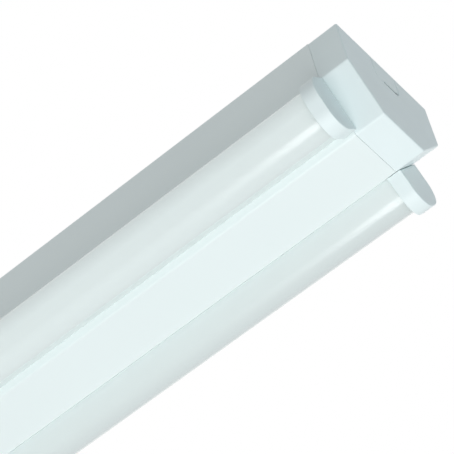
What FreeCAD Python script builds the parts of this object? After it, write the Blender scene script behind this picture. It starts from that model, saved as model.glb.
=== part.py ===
import FreeCAD, Part
import math
import os

# Twin-tube ceiling batten, in millimetres.
# X runs along the fitting with the near end at +X, Y runs across it, Z points up.
# The ceiling is the plane z = 0 and the origin is the middle of the base tray's back.

# Body section
overall_length = 1200.0
body_width = 100.0
body_depth = 71.5
wall_height = 40.0
flat_width = 43.0
cover_sheet = 0.8
cover_top_gap = 0.2
fold_radius = 2.5

# End caps of the body
end_cap_length = 23.0
end_cap_seam = 0.18
end_cap_wall = 2.2
end_cap_round = 1.2
end_cap_top_gap = 1.0
spigot_length = 12.0
spigot_wall = 1.8
spigot_clearance = 0.25
spigot_root = 3.0
end_cap_rib = 1.5
end_cap_rib_reach = 9.0
end_cap_rib_y = 18.0
knockout_width = 27.0
knockout_depth = 22.6
knockout_round = 6.0
knockout_groove = 0.6
knockout_groove_depth = 0.3
pry_slot_width = 2.4
pry_slot_depth = 1.8
pry_slot_start = -4.5
pry_slot_rise = 3.4

# Diffuser tubes, measured square to the slope they stand on: upright sides and a round crown.
# The shift sets them, and all that goes with them, up the slope from its middle.
tube_half_width = 17.4
tube_height = 26.7
tube_shoulder = 13.5
tube_wall = 1.6
tube_shift = 1.2
tube_slope_gap = 0.2
tube_lip = 1.5
tube_end_gap = 0.5

# Caps on the ends of the tubes
tube_cap_setback = 20.5
tube_cap_half_width = 20.2
tube_cap_height = 30.8
tube_cap_shoulder = 16.4
tube_cap_length = 10.8
tube_cap_floor = 2.4
tube_cap_edge = 0.8
tube_cap_rim_edge = 0.6
tube_cap_clearance = 0.2
tube_cap_slope_gap = 0.3
tube_cap_spigot_wall = 1.6
tube_cap_spigot_length = 6.0
tube_cap_spigot_from = 9.0

# Aluminium carriers under the boards
carrier_foot_width = 24.0
carrier_foot_height = 2.0
carrier_plate_width = 30.0
carrier_plate_height = 2.0
carrier_rail_width = 1.5
carrier_rail_height = 2.6
carrier_end_inset = 0.6
carrier_lip_gap = 0.3
carrier_screw_count = 4
carrier_screw_inset = 60.0
carrier_screw_radius = 1.9
carrier_screw_head_radius = 3.6
carrier_screw_head_height = 2.4
carrier_screw_bite = 1.4

# Circuit boards and LED packages
boards_per_tube = 4
board_gap = 7.0
board_width = 23.4
board_thickness = 1.6
board_rail_gap = 0.3
leds_per_board = 20
led_length = 3.5
led_width = 2.8
led_height = 0.8
led_end_margin = 18.0
board_screw_inset = 12.0
board_screw_side = 8.0
board_screw_radius = 1.4
board_screw_head_radius = 2.5
board_screw_head_height = 1.6
link_overlap = 6.0
link_width = 9.0
link_height = 4.0
feed_overlap = 8.0
feed_width = 12.0
feed_height = 5.5
feed_gap_index = 3

# Rubber grommets that carry the tube leads through the slopes
lead_grommet_core_radius = 4.0
lead_grommet_flange_radius = 5.6
lead_grommet_flange_height = 1.2
lead_grommet_bore_radius = 3.0
lead_grommet_clearance = 0.5

# Base tray
base_sheet = 1.0
base_gap = 2.0
base_flange = 16.0
base_fold_radius = 1.6
base_end_gap = 4.0
fixing_spacing = 800.0
fixing_slot_width = 5.5
fixing_slot_length = 14.0
entry_x = -60.0
conduit_spacing = 50.8
conduit_hole_radius = 2.3
entry_hole_radius = 10.5
blank_spacing = 500.0
blank_radius = 10.0
blank_slit = 0.8
blank_tab = 3.0
bead_y = 27.0
bead_width = 8.0
bead_floor_width = 5.0
bead_depth = 1.5
bead_end_inset = 30.0

# Cable grommet in the base tray
grommet_bore_radius = 5.0
grommet_flange_radius = 13.5
grommet_flange_height = 2.0
grommet_nose_radius = 8.0
grommet_nose_height = 5.0

# Spring clips that hold the cover
clip_end_inset = 150.0
clip_width = 24.0
clip_height = 10.0
clip_sheet = 0.5
clip_wall_gap = 0.3
rivet_radius = 1.6
rivet_head_radius = 3.0
rivet_head_height = 1.2
rivet_tail_radius = 2.4
rivet_tail_height = 0.5

# Terminal block under the base tray
terminal_x = 0.0
terminal_length = 44.0
terminal_width = 30.0
terminal_height = 20.0
terminal_ear_length = 8.0
terminal_ear_width = 12.0
terminal_ear_height = 4.0
terminal_screw_radius = 1.5
terminal_screw_head_radius = 2.8
terminal_screw_head_height = 1.8
pole_pitch = 9.0
entry_radius = 2.0
entry_funnel_radius = 3.2
entry_funnel_depth = 3.0
entry_depth = 11.0
entry_drop = 12.0
button_x = -7.0
button_length = 5.0
button_width = 6.0
button_proud = 2.0
button_sunk = 3.0
button_travel = 1.5
button_clearance = 0.25
socket_x = 9.0
socket_depth = 12.0
socket_clearance = 0.5

# Gear plug on its bracket
plug_length = 18.0
plug_width = 30.0
plug_height = 14.0
plug_gap = 0.6
plug_peg_radius = 1.5
plug_peg_inset = 3.0
plug_peg_length = 3.0
pin_radius = 1.8
pin_reach = 10.0
pin_depth = 7.0
pin_tip = 0.6
bracket_sheet = 1.2
bracket_foot = 16.0
bracket_leg = 3.6

# Driver
driver_x = 66.0
driver_length = 190.0
driver_width = 30.0
driver_height = 21.0
driver_wall = 1.5
driver_step_length = 14.0
driver_step_height = 9.0
driver_tab_length = 9.0
driver_tab_width = 16.0
driver_tab_height = 2.0
driver_lid_height = 1.2
driver_lid_rim = 2.0
driver_lid_clearance = 0.2
driver_terminal_width = 22.0
driver_terminal_height = 11.0
driver_terminal_gap = 0.2
driver_terminal_bite = 5.0
driver_board_height = 3.0
driver_board_thickness = 1.6
driver_board_gap = 0.4
transformer_length = 22.0
transformer_width = 18.0
transformer_height = 12.0
capacitor_radius = 5.0
capacitor_height = 11.5
capacitor_pitch = 14.0
choke_length = 12.0
choke_width = 12.0
choke_height = 9.0

# Weld studs, nuts and earth tag on the inside of the centre flat
stud_radius = 2.0
stud_length = 8.0
nut_across_flats = 7.0
nut_height = 3.2
earth_stud_x = 44.0
tag_thickness = 0.8
tag_radius = 4.2
tag_neck_length = 9.0
tag_neck_width = 4.0
tag_barrel_length = 6.0
tag_barrel_wall = 0.6
tag_barrel_lift = 0.6

# Leads
mains_lead_radius = 1.1
tube_lead_radius = 0.8
tube_lead_pitch = 4.0
tube_lead_spread = 3.2
tube_lead_run = 17.0
tube_lead_back = 17.0
tube_lead_bite = 2.4
lead_drop = 10.0

# Working clearance of a shank or a lead in its hole
hole_clearance = 0.1
cut_over = 1.0

# Places that follow from the sizes above
half_length = overall_length / 2
cap_joint_x = half_length - end_cap_length
cover_end_x = cap_joint_x - end_cap_seam
base_end_x = cover_end_x - spigot_length - base_end_gap
flat_inner_z = -(body_depth - cover_sheet)
slope_run = (body_width - flat_width) / 2
slope_fall = body_depth - wall_height
slope_angle = math.atan2(slope_fall, slope_run)
slope_middle_y = (body_width + flat_width) / 4 + tube_shift * math.cos(slope_angle)
slope_middle_z = -(body_depth + wall_height) / 2 + tube_shift * math.sin(slope_angle)

tube_cap_end_x = half_length - tube_cap_setback
diffuser_end_x = tube_cap_end_x - tube_cap_floor - tube_end_gap
carrier_end_x = diffuser_end_x - carrier_end_inset
carrier_top = carrier_foot_height + carrier_plate_height
board_pitch = 2 * carrier_end_x / boards_per_tube
board_length = board_pitch - board_gap
board_top = carrier_top + board_thickness
feed_x = -carrier_end_x + feed_gap_index * board_pitch

base_half_width = body_width / 2 - cover_sheet - base_gap
clip_x = base_end_x - clip_end_inset
clip_bottom_z = -base_flange
terminal_top_z = -base_sheet
terminal_bottom_z = terminal_top_z - terminal_height
plug_x = terminal_x + socket_x
plug_top_z = terminal_bottom_z - plug_gap
plug_bottom_z = plug_top_z - plug_height
bracket_web_x = plug_x + plug_length / 2
driver_end_x = driver_x + driver_length
driver_step_z = flat_inner_z + driver_step_height
driver_lead_z = driver_step_z + driver_terminal_height / 2
tag_barrel_radius = mains_lead_radius + hole_clearance + tag_barrel_wall
tag_barrel_z = flat_inner_z + bracket_sheet + tag_barrel_lift + tag_barrel_radius

pole_places = (-pole_pitch, 0.0, pole_pitch)
sides = {"left": -1, "right": 1}


def box(x_range, y_range, z_range):
    """Block between two limits on each axis."""
    low = FreeCAD.Vector(x_range[0], y_range[0], z_range[0])
    size = [limits[1] - limits[0] for limits in (x_range, y_range, z_range)]
    return Part.makeBox(size[0], size[1], size[2], low)


def about(middle, size):
    """Limits of a size that is centred on a middle."""
    return (middle - size / 2, middle + size / 2)


def rod(radius, start, end):
    """Round bar from one point to another."""
    start = FreeCAD.Vector(*start)
    run = FreeCAD.Vector(*end) - start
    return Part.makeCylinder(radius, run.Length, start, run)


def cone(start_radius, end_radius, start, end):
    """Tapered round bar from one point to another."""
    start = FreeCAD.Vector(*start)
    run = FreeCAD.Vector(*end) - start
    return Part.makeCone(start_radius, end_radius, run.Length, start, run)


def line(start, end):
    return Part.LineSegment(start, end).toShape()


def arc(start, middle, end):
    return Part.Arc(start, middle, end).toShape()


def corner_arc(before, corner, after, radius):
    """Start, middle and end of the arc that rounds a corner."""
    to_before = (before - corner).normalize()
    to_after = (after - corner).normalize()
    half_angle = to_before.getAngle(to_after) / 2
    reach = radius / math.tan(half_angle)
    inward = (to_before + to_after).normalize()
    middle = corner + inward * (radius / math.sin(half_angle) - radius)
    return corner + to_before * reach, middle, corner + to_after * reach


def rounded_run(points, radii):
    """Edges from the first point to the last, with each corner between them rounded."""
    edges = []
    here = points[0]
    for index in range(1, len(points) - 1):
        radius = radii[index]
        if radius > 0:
            start, middle, end = corner_arc(here, points[index], points[index + 1], radius)
            edges.append(line(here, start))
            edges.append(arc(start, middle, end))
            here = end
        else:
            edges.append(line(here, points[index]))
            here = points[index]
    edges.append(line(here, points[-1]))
    return edges


def prism(corners, radii, x_range):
    """Bar along X whose section has the given (y, z) corners; the first corner stays sharp."""
    loop = [FreeCAD.Vector(x_range[0], y, z) for y, z in list(corners) + [corners[0]]]
    face = Part.Face(Part.Wire(rounded_run(loop, list(radii) + [0])))
    return face.extrude(FreeCAD.Vector(x_range[1] - x_range[0], 0, 0))


def upright_slot(x, y, length, width, z_range):
    """Round-ended slot along X, standing between two heights."""
    reach = (length - width) / 2
    middle = box((x - reach, x + reach), about(y, width), z_range)
    ends = [rod(width / 2, (x + step, y, z_range[0]), (x + step, y, z_range[1]))
            for step in (-reach, reach)]
    return middle.fuse(ends).removeSplitter()


def on_slope(shape, side):
    """Copy of a shape that was built on a level slope, set on the slope of one side.

    Level means x along the fitting, y along the slope and z square out from its face."""
    copy = shape.copy()
    turn = 180 + side * math.degrees(slope_angle)
    middle = FreeCAD.Vector(0, side * slope_middle_y, slope_middle_z)
    copy.Placement = FreeCAD.Placement(middle, FreeCAD.Rotation(FreeCAD.Vector(1, 0, 0), turn))
    return copy


def slope_point(x, along, out, side):
    """Place in the whole fitting of a point given on a level slope."""
    turn = FreeCAD.Rotation(FreeCAD.Vector(1, 0, 0), 180 + side * math.degrees(slope_angle))
    middle = FreeCAD.Vector(0, side * slope_middle_y, slope_middle_z)
    return middle + turn.multVec(FreeCAD.Vector(x, along, out))


def turned_round(shape):
    """Copy of a shape made for the near end, set at the far end."""
    copy = shape.copy()
    copy.rotate(FreeCAD.Vector(0, 0, 0), FreeCAD.Vector(0, 0, 1), 180)
    return copy


def spine_corners(inset, top_z):
    """Body section taken in by an inset from every outer face, from left top to right top."""
    sine = math.sin(slope_angle)
    cosine = math.cos(slope_angle)
    wall_y = body_width / 2 - inset
    fold_z = -wall_height + inset * (1 - sine) / cosine
    flat_z = -(body_depth - inset)
    flat_y = body_width / 2 - (inset + (slope_fall - inset) * cosine) / sine
    right = [(wall_y, top_z), (wall_y, fold_z), (flat_y, flat_z)]
    return [(-y, z) for y, z in right] + right[::-1]


def channel(inset, wall, top_z, x_range):
    """Open channel of the body's section with an even wall and rounded folds."""
    outer = spine_corners(inset, top_z)
    inner = spine_corners(inset + wall, top_z)[::-1]
    outside = max(fold_radius - inset, cover_sheet / 4)
    inside = max(fold_radius - inset - wall, cover_sheet / 4)
    radii = [0] + [outside] * 4 + [0, 0] + [inside] * 4 + [0]
    return prism(outer + inner, radii, x_range)


def carrier_screw_places():
    """Places along X of the screws that hold a carrier to its slope."""
    reach = carrier_end_x - carrier_screw_inset
    step = 2 * reach / (carrier_screw_count - 1)
    return [-reach + index * step for index in range(carrier_screw_count)]


def board_middles():
    """Middles along X of the boards of one tube."""
    return [-carrier_end_x + (index + 0.5) * board_pitch for index in range(boards_per_tube)]


def board_screw_places():
    """Places along X and across the slope of the board screws of one tube."""
    reach = board_length / 2 - board_screw_inset
    places = []
    for middle in board_middles():
        places.append((middle - reach, -board_screw_side))
        places.append((middle + reach, board_screw_side))
    return places


def stud_places():
    """Places along X of the earth stud and the two driver studs."""
    return (earth_stud_x, driver_x - driver_tab_length / 2, driver_end_x + driver_tab_length / 2)


def spine_cover():
    """Folded steel body, open to the ceiling, with the holes for screws and leads in its slopes."""
    cover = channel(0, cover_sheet, -cover_top_gap, (-cover_end_x, cover_end_x))
    holes = []
    for side in sides.values():
        for x in carrier_screw_places():
            hole = rod(carrier_screw_radius + 2 * hole_clearance,
                       (x, 0, -cover_sheet - cut_over), (x, 0, cut_over))
            holes.append(on_slope(hole, side))
        hole = rod(lead_grommet_core_radius, (feed_x, 0, -cover_sheet - cut_over),
                   (feed_x, 0, cut_over))
        holes.append(on_slope(hole, side))
    return cover.cut(holes)


def u_groove(width, depth):
    """U-shaped groove in the outer face of an end cap, as wide and as deep as given."""
    x_range = (half_length - depth, half_length + cut_over)
    shapes = []
    for inset in (0, width):
        half_width = knockout_width / 2 - inset
        low_z = -knockout_depth + inset
        corners = [(-half_width, cut_over), (-half_width, low_z), (half_width, low_z),
                   (half_width, cut_over)]
        radius = knockout_round - inset
        shapes.append(prism(corners, (0, radius, radius, 0), x_range))
    return shapes[0].cut(shapes[1])


def knockout():
    """Groove round a cable knock-out, deeper along its foot so that a blade can break it out."""
    foot = box((half_length - pry_slot_depth, half_length + cut_over),
               (pry_slot_start, knockout_width / 2),
               (-knockout_depth, -knockout_depth + pry_slot_rise))
    slot = u_groove(pry_slot_width, pry_slot_depth).common(foot)
    return u_groove(knockout_groove, knockout_groove_depth).fuse(slot)


def rounded_end(solid, x, radius, open_z=cut_over):
    """Solid with the edges round its end face softened, all but one along an open top."""
    edges = []
    for edge in solid.Edges:
        at_end = all(abs(vertex.X - x) < hole_clearance for vertex in edge.Vertexes)
        at_top = all(abs(vertex.Z - open_z) < hole_clearance for vertex in edge.Vertexes)
        if at_end and not at_top:
            edges.append(edge)
    return solid.makeFillet(radius, edges)


def end_cap():
    """Moulded end of the body: a cup open to the ceiling, with a spigot that enters the cover."""
    top_z = -end_cap_top_gap
    radii = [0] + [fold_radius] * 4 + [0]
    outer = prism(spine_corners(0, top_z), radii, (cap_joint_x, half_length))
    cup = rounded_end(outer, half_length, end_cap_round, top_z)
    hollow = prism(spine_corners(end_cap_wall, cut_over), [0] * 6,
                   (cap_joint_x - cut_over, half_length - end_cap_wall))
    cup = cup.cut(hollow)
    spigot = channel(cover_sheet + spigot_clearance, spigot_wall, top_z,
                     (cap_joint_x - spigot_length, cap_joint_x + spigot_root))
    floor_z = -(body_depth - end_cap_wall / 2)
    ribs = []
    for side in sides.values():
        rib = box((half_length - end_cap_wall - end_cap_rib_reach, half_length - end_cap_wall / 2),
                  about(side * end_cap_rib_y, end_cap_rib), (floor_z, -end_cap_length))
        ribs.append(rib)
    return cup.fuse([spigot] + ribs).cut(knockout()).removeSplitter()


def arch(half_width, low, high, shoulder, x_range):
    """Bar along X of arched section: upright sides and a crown with round shoulders."""
    corners = [(-half_width, low), (half_width, low), (half_width, high), (-half_width, high)]
    return prism(corners, (0, 0, shoulder, shoulder), x_range)


def diffuser():
    """Opal tube of arched section, with two lips turned in under its carrier."""
    over = (-diffuser_end_x - cut_over, diffuser_end_x + cut_over)
    lip_top = tube_slope_gap + tube_lip
    outer = arch(tube_half_width, tube_slope_gap, tube_height, tube_shoulder,
                 (-diffuser_end_x, diffuser_end_x))
    hollow = arch(tube_half_width - tube_wall, lip_top, tube_height - tube_wall,
                  tube_shoulder - tube_wall, over)
    mouth = box(over, about(0, carrier_foot_width + 2 * carrier_lip_gap),
                (tube_slope_gap - cut_over, lip_top + cut_over))
    return outer.cut([hollow, mouth])


def diffuser_cap():
    """Moulded cap over the end of a tube: arched sleeve, end wall and an inner spigot."""
    end = tube_cap_end_x
    start = end - tube_cap_length
    floor = end - tube_cap_floor
    body = arch(tube_cap_half_width, tube_cap_slope_gap, tube_cap_height, tube_cap_shoulder,
                (start, end))
    body = rounded_end(body, end, tube_cap_edge)
    body = rounded_end(body, start, tube_cap_rim_edge)
    bore = arch(tube_half_width + tube_cap_clearance, tube_cap_slope_gap - cut_over,
                tube_height + tube_cap_clearance, tube_shoulder + tube_cap_clearance,
                (start - cut_over, floor))
    inset = tube_wall + tube_cap_clearance
    ring = arch(tube_half_width - inset, tube_cap_spigot_from, tube_height - inset,
                tube_shoulder - inset, (floor - tube_cap_spigot_length, end - tube_cap_floor / 2))
    inset += tube_cap_spigot_wall
    hollow = arch(tube_half_width - inset, tube_cap_spigot_from - cut_over, tube_height - inset,
                  tube_shoulder - inset, (floor - tube_cap_spigot_length - cut_over, floor))
    return body.cut(bore).fuse(ring.cut(hollow)).removeSplitter()


def carrier():
    """Aluminium extrusion under the boards: foot, plate and two guide rails."""
    foot = carrier_foot_width / 2
    plate = carrier_plate_width / 2
    rail_in = board_width / 2 + board_rail_gap
    rail_out = rail_in + carrier_rail_width
    rail_top = carrier_top + carrier_rail_height
    right = [(foot, 0), (foot, carrier_foot_height), (plate, carrier_foot_height),
             (plate, carrier_top), (rail_out, carrier_top), (rail_out, rail_top),
             (rail_in, rail_top), (rail_in, carrier_top)]
    corners = right + [(-y, z) for y, z in right[::-1]]
    bar = prism(corners, [0] * len(corners), (-carrier_end_x, carrier_end_x))
    holes = []
    for x in carrier_screw_places():
        holes.append(rod(carrier_screw_radius + hole_clearance, (x, 0, -cut_over),
                         (x, 0, carrier_foot_height + carrier_screw_bite)))
    for x, along in board_screw_places():
        holes.append(rod(board_screw_radius + hole_clearance,
                         (x, along, carrier_foot_height / 2), (x, along, carrier_top + cut_over)))
    holes.append(rod(lead_grommet_flange_radius + lead_grommet_clearance,
                     (feed_x, 0, -cut_over), (feed_x, 0, carrier_top + cut_over)))
    return bar.cut(holes)


def carrier_screws():
    """Pan-head screws from inside the body through a slope into its carrier."""
    screws = []
    inside = -cover_sheet
    for x in carrier_screw_places():
        head = rod(carrier_screw_head_radius, (x, 0, inside - carrier_screw_head_height),
                   (x, 0, inside))
        shank = rod(carrier_screw_radius, (x, 0, inside),
                    (x, 0, carrier_foot_height + carrier_screw_bite - hole_clearance))
        screws.append(head.fuse(shank))
    return Part.makeCompound(screws)


def led_boards():
    """Circuit boards of one tube, end to end on the carrier."""
    boards = []
    for middle in board_middles():
        board = box(about(middle, board_length), about(0, board_width), (carrier_top, board_top))
        boards.append(board)
    holes = [rod(board_screw_radius + hole_clearance, (x, along, carrier_top - cut_over),
                 (x, along, board_top + cut_over)) for x, along in board_screw_places()]
    return Part.makeCompound([board.cut(holes) for board in boards])


def led_chips():
    """LED packages of one tube, in a row down the middle of its boards."""
    chips = []
    reach = board_length / 2 - led_end_margin
    step = 2 * reach / (leds_per_board - 1)
    for middle in board_middles():
        for index in range(leds_per_board):
            x = middle - reach + index * step
            chips.append(box(about(x, led_length), about(0, led_width),
                             (board_top, board_top + led_height)))
    return Part.makeCompound(chips)


def board_screws():
    """Screws that hold the boards of one tube to the carrier."""
    screws = []
    for x, along in board_screw_places():
        head = rod(board_screw_head_radius, (x, along, board_top),
                   (x, along, board_top + board_screw_head_height))
        shank = rod(board_screw_radius, (x, along, carrier_foot_height), (x, along, board_top))
        screws.append(head.fuse(shank))
    return Part.makeCompound(screws)


def board_links():
    """Connectors that bridge from board to board, all but the one at the feed."""
    links = []
    for index in range(1, boards_per_tube):
        x = -carrier_end_x + index * board_pitch
        if index != feed_gap_index:
            links.append(box(about(x, board_gap + 2 * link_overlap), about(0, link_width),
                             (board_top, board_top + link_height)))
    return Part.makeCompound(links)


def feed_lead_steps():
    """Steps along X from the feed's middle to its two leads, first lead first."""
    return (tube_lead_spread / 2, -tube_lead_spread / 2)


def feed_connector():
    """Connector over the feed gap, bored from below for its two leads."""
    body = box(about(feed_x, board_gap + 2 * feed_overlap), about(0, feed_width),
               (board_top, board_top + feed_height))
    bores = [rod(tube_lead_radius + hole_clearance, (feed_x + step, 0, board_top - cut_over),
                 (feed_x + step, 0, board_top + tube_lead_bite + hole_clearance))
             for step in feed_lead_steps()]
    return body.cut(bores)


def lead_grommet():
    """Rubber ring in a slope, with a flange on each face of the sheet."""
    bottom = -cover_sheet - lead_grommet_flange_height
    top = lead_grommet_flange_height
    inner = rod(lead_grommet_flange_radius, (feed_x, 0, bottom), (feed_x, 0, -cover_sheet))
    core = rod(lead_grommet_core_radius, (feed_x, 0, -cover_sheet), (feed_x, 0, 0))
    outer = rod(lead_grommet_flange_radius, (feed_x, 0, 0), (feed_x, 0, top))
    bore = rod(lead_grommet_bore_radius, (feed_x, 0, bottom - cut_over), (feed_x, 0, top + cut_over))
    return inner.fuse([core, outer]).cut(bore).removeSplitter()


def tray_bead(y, lift):
    """Bar of the section of a stiffening bead, lifted from the lower face of the tray's sheet."""
    low_z = -base_sheet - bead_depth + lift
    high_z = -base_sheet + lift
    corners = [(y - bead_width / 2, high_z), (y - bead_floor_width / 2, low_z),
               (y + bead_floor_width / 2, low_z), (y + bead_width / 2, high_z)]
    reach = base_end_x - bead_end_inset
    return prism(corners, [0] * len(corners), (-reach, reach))


def blank_knockout(x):
    """Two curved slits round a cable knock-out that is still closed."""
    low = (x, 0, -base_sheet - cut_over)
    high = (x, 0, cut_over)
    ring = rod(blank_radius, low, high).cut(rod(blank_radius - blank_slit, low, high))
    tabs = box(about(x, 4 * blank_radius), about(0, blank_tab), (low[2], high[2]))
    return ring.cut(tabs)


def base_tray():
    """Folded steel tray on the ceiling: beads, fixing holes, cable entry and rivet holes."""
    outer_y = base_half_width
    inner_y = base_half_width - base_sheet
    corners = [(0, 0), (-outer_y, 0), (-outer_y, -base_flange), (-inner_y, -base_flange),
               (-inner_y, -base_sheet), (inner_y, -base_sheet), (inner_y, -base_flange),
               (outer_y, -base_flange), (outer_y, 0)]
    inside = base_fold_radius - base_sheet
    radii = [0, base_fold_radius, 0, 0, inside, inside, 0, 0, base_fold_radius]
    tray = prism(corners, radii, (-base_end_x, base_end_x))
    tray = tray.fuse([tray_bead(side * bead_y, 0) for side in sides.values()])
    through = (-base_sheet - cut_over, cut_over)
    holes = [tray_bead(side * bead_y, base_sheet) for side in sides.values()]
    holes += [blank_knockout(step * blank_spacing / 2) for step in (-1, 1)]
    holes += [upright_slot(step * fixing_spacing / 2, 0, fixing_slot_length, fixing_slot_width, through)
              for step in (-1, 1)]
    holes += [rod(conduit_hole_radius, (entry_x + step * conduit_spacing / 2, 0, through[0]),
                  (entry_x + step * conduit_spacing / 2, 0, through[1])) for step in (-1, 1)]
    holes.append(rod(entry_hole_radius, (entry_x, 0, through[0]), (entry_x, 0, through[1])))
    for x in terminal_screw_places():
        holes.append(rod(terminal_screw_radius + hole_clearance, (x, 0, through[0]),
                         (x, 0, through[1])))
    for x in (-clip_x, clip_x):
        for side in sides.values():
            holes.append(rod(rivet_radius + hole_clearance, (x, side * (inner_y - cut_over), rivet_z()),
                             (x, side * (outer_y + cut_over), rivet_z())))
    return tray.cut(holes).removeSplitter()


def cable_grommet():
    """Rubber bush in the cable entry, flush with the back of the tray."""
    sheet_z = -base_sheet
    flange_z = sheet_z - grommet_flange_height
    nose_z = flange_z - grommet_nose_height
    core = rod(entry_hole_radius - hole_clearance / 2, (entry_x, 0, sheet_z), (entry_x, 0, 0))
    flange = rod(grommet_flange_radius, (entry_x, 0, flange_z), (entry_x, 0, sheet_z))
    nose = cone(grommet_nose_radius, grommet_bore_radius + grommet_flange_height / 2,
                (entry_x, 0, flange_z), (entry_x, 0, nose_z))
    bore = rod(grommet_bore_radius, (entry_x, 0, nose_z - cut_over), (entry_x, 0, cut_over))
    return core.fuse([flange, nose]).cut(bore).removeSplitter()


def rivet_z():
    """Height of the clip rivets, half-way up the clips."""
    return clip_bottom_z + clip_height / 2


def cover_clip(x, side):
    """Leaf spring hooked over a flange of the tray, bowed out towards the cover's wall."""
    inner_y = base_half_width - base_sheet
    outer_y = base_half_width
    bow_y = base_half_width + base_gap - clip_wall_gap
    top_z = clip_bottom_z + clip_height
    low_z = clip_bottom_z - clip_sheet
    start = x - clip_width / 2

    def place(y, z):
        return FreeCAD.Vector(start, side * y, z)

    inner_leg = [place(inner_y, clip_bottom_z), place(inner_y, top_z),
                 place(inner_y - clip_sheet, top_z), place(inner_y - clip_sheet, low_z),
                 place(outer_y + clip_sheet, low_z)]
    edges = rounded_run(inner_leg, [0] * len(inner_leg))
    edges.append(arc(place(outer_y + clip_sheet, low_z), place(bow_y, rivet_z()),
                     place(outer_y + clip_sheet, top_z)))
    edges.append(line(place(outer_y + clip_sheet, top_z), place(outer_y, top_z)))
    edges.append(arc(place(outer_y, top_z), place(bow_y - clip_sheet, rivet_z()),
                     place(outer_y, clip_bottom_z)))
    edges.append(line(place(outer_y, clip_bottom_z), place(inner_y, clip_bottom_z)))
    leaf = Part.Face(Part.Wire(edges)).extrude(FreeCAD.Vector(clip_width, 0, 0))
    hole = rod(rivet_radius + hole_clearance, (x, side * (inner_y - clip_sheet - cut_over), rivet_z()),
               (x, side * inner_y, rivet_z()))
    return leaf.cut(hole)


def clip_rivet(x, side):
    """Rivet through a clip's inner leg and the tray's flange."""
    leg_y = base_half_width - base_sheet - clip_sheet
    head = rod(rivet_head_radius, (x, side * (leg_y - rivet_head_height), rivet_z()),
               (x, side * leg_y, rivet_z()))
    shank = rod(rivet_radius, (x, side * leg_y, rivet_z()), (x, side * base_half_width, rivet_z()))
    tail = rod(rivet_tail_radius, (x, side * base_half_width, rivet_z()),
               (x, side * (base_half_width + rivet_tail_height), rivet_z()))
    return head.fuse([shank, tail])


def at_every_clip(make):
    """Group of what a function makes at each of the four clips."""
    return Part.makeCompound([make(x, side) for x in (-clip_x, clip_x) for side in sides.values()])


def terminal_screw_places():
    """Places along X of the two screws in the terminal block's ears."""
    reach = terminal_length / 2 + terminal_ear_length / 2
    return (terminal_x - reach, terminal_x + reach)


def terminal_block():
    """Three-pole block: wire entries on its far end, buttons and sockets on its lower face."""
    body = box(about(terminal_x, terminal_length), about(0, terminal_width),
               (terminal_bottom_z, terminal_top_z))
    ears = box(about(terminal_x, terminal_length + 2 * terminal_ear_length),
               about(0, terminal_ear_width), (terminal_top_z - terminal_ear_height, terminal_top_z))
    face_x = terminal_x - terminal_length / 2
    entry_z = terminal_top_z - entry_drop
    holes = []
    for y in pole_places:
        holes.append(rod(entry_radius, (face_x - cut_over, y, entry_z),
                         (face_x + entry_depth, y, entry_z)))
        holes.append(cone(entry_funnel_radius, entry_radius, (face_x, y, entry_z),
                          (face_x + entry_funnel_depth, y, entry_z)))
        holes.append(box(about(terminal_x + button_x, button_length + 2 * button_clearance),
                         about(y, button_width + 2 * button_clearance),
                         (terminal_bottom_z - cut_over, terminal_bottom_z + button_sunk
                          + button_travel + button_clearance)))
        holes.append(rod(pin_radius + socket_clearance, (plug_x, y, terminal_bottom_z - cut_over),
                         (plug_x, y, terminal_bottom_z + socket_depth)))
    for x in terminal_screw_places():
        holes.append(rod(terminal_screw_radius + hole_clearance,
                         (x, 0, terminal_top_z - terminal_ear_height - cut_over),
                         (x, 0, terminal_top_z + cut_over)))
    return body.fuse(ears).removeSplitter().cut(holes)


def terminal_button(y):
    """Release button of one pole, standing out of the block's lower face."""
    return box(about(terminal_x + button_x, button_length), about(y, button_width),
               (terminal_bottom_z - button_proud, terminal_bottom_z + button_sunk))


def terminal_screws():
    """Screws through the block's ears into the tray, flush with its back."""
    screws = []
    ear_z = terminal_top_z - terminal_ear_height
    for x in terminal_screw_places():
        head = rod(terminal_screw_head_radius, (x, 0, ear_z - terminal_screw_head_height), (x, 0, ear_z))
        shank = rod(terminal_screw_radius, (x, 0, ear_z), (x, 0, -hole_clearance))
        screws.append(head.fuse(shank))
    return Part.makeCompound(screws)


def plug_peg_places():
    """Places of the two pegs that fix the plug to its bracket."""
    x = plug_x - plug_length / 2 + plug_peg_inset
    y = plug_width / 2 - plug_peg_inset
    return ((x, -y), (x, y))


def gear_plug():
    """Three-pole plug body on its bracket, bored for the pins above and the leads below."""
    body = box(about(plug_x, plug_length), about(0, plug_width), (plug_bottom_z, plug_top_z))
    pegs = [rod(plug_peg_radius, (x, y, plug_bottom_z - plug_peg_length), (x, y, plug_bottom_z))
            for x, y in plug_peg_places()]
    bores = []
    for y in pole_places:
        bores.append(rod(pin_radius, (plug_x, y, plug_top_z - pin_depth), (plug_x, y, plug_top_z)))
        bores.append(rod(mains_lead_radius + hole_clearance, (plug_x, y, plug_bottom_z - cut_over),
                         (plug_x, y, plug_top_z - pin_depth)))
    return body.fuse(pegs).cut(bores)


def plug_pins():
    """Brass pins of the plug, with tapered tips."""
    pins = []
    tip_z = terminal_bottom_z + pin_reach
    for y in pole_places:
        shank = rod(pin_radius, (plug_x, y, plug_top_z - pin_depth), (plug_x, y, tip_z - pin_tip))
        tip = cone(pin_radius, pin_radius - pin_tip, (plug_x, y, tip_z - pin_tip), (plug_x, y, tip_z))
        pins.append(shank.fuse(tip))
    return Part.makeCompound(pins)


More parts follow.
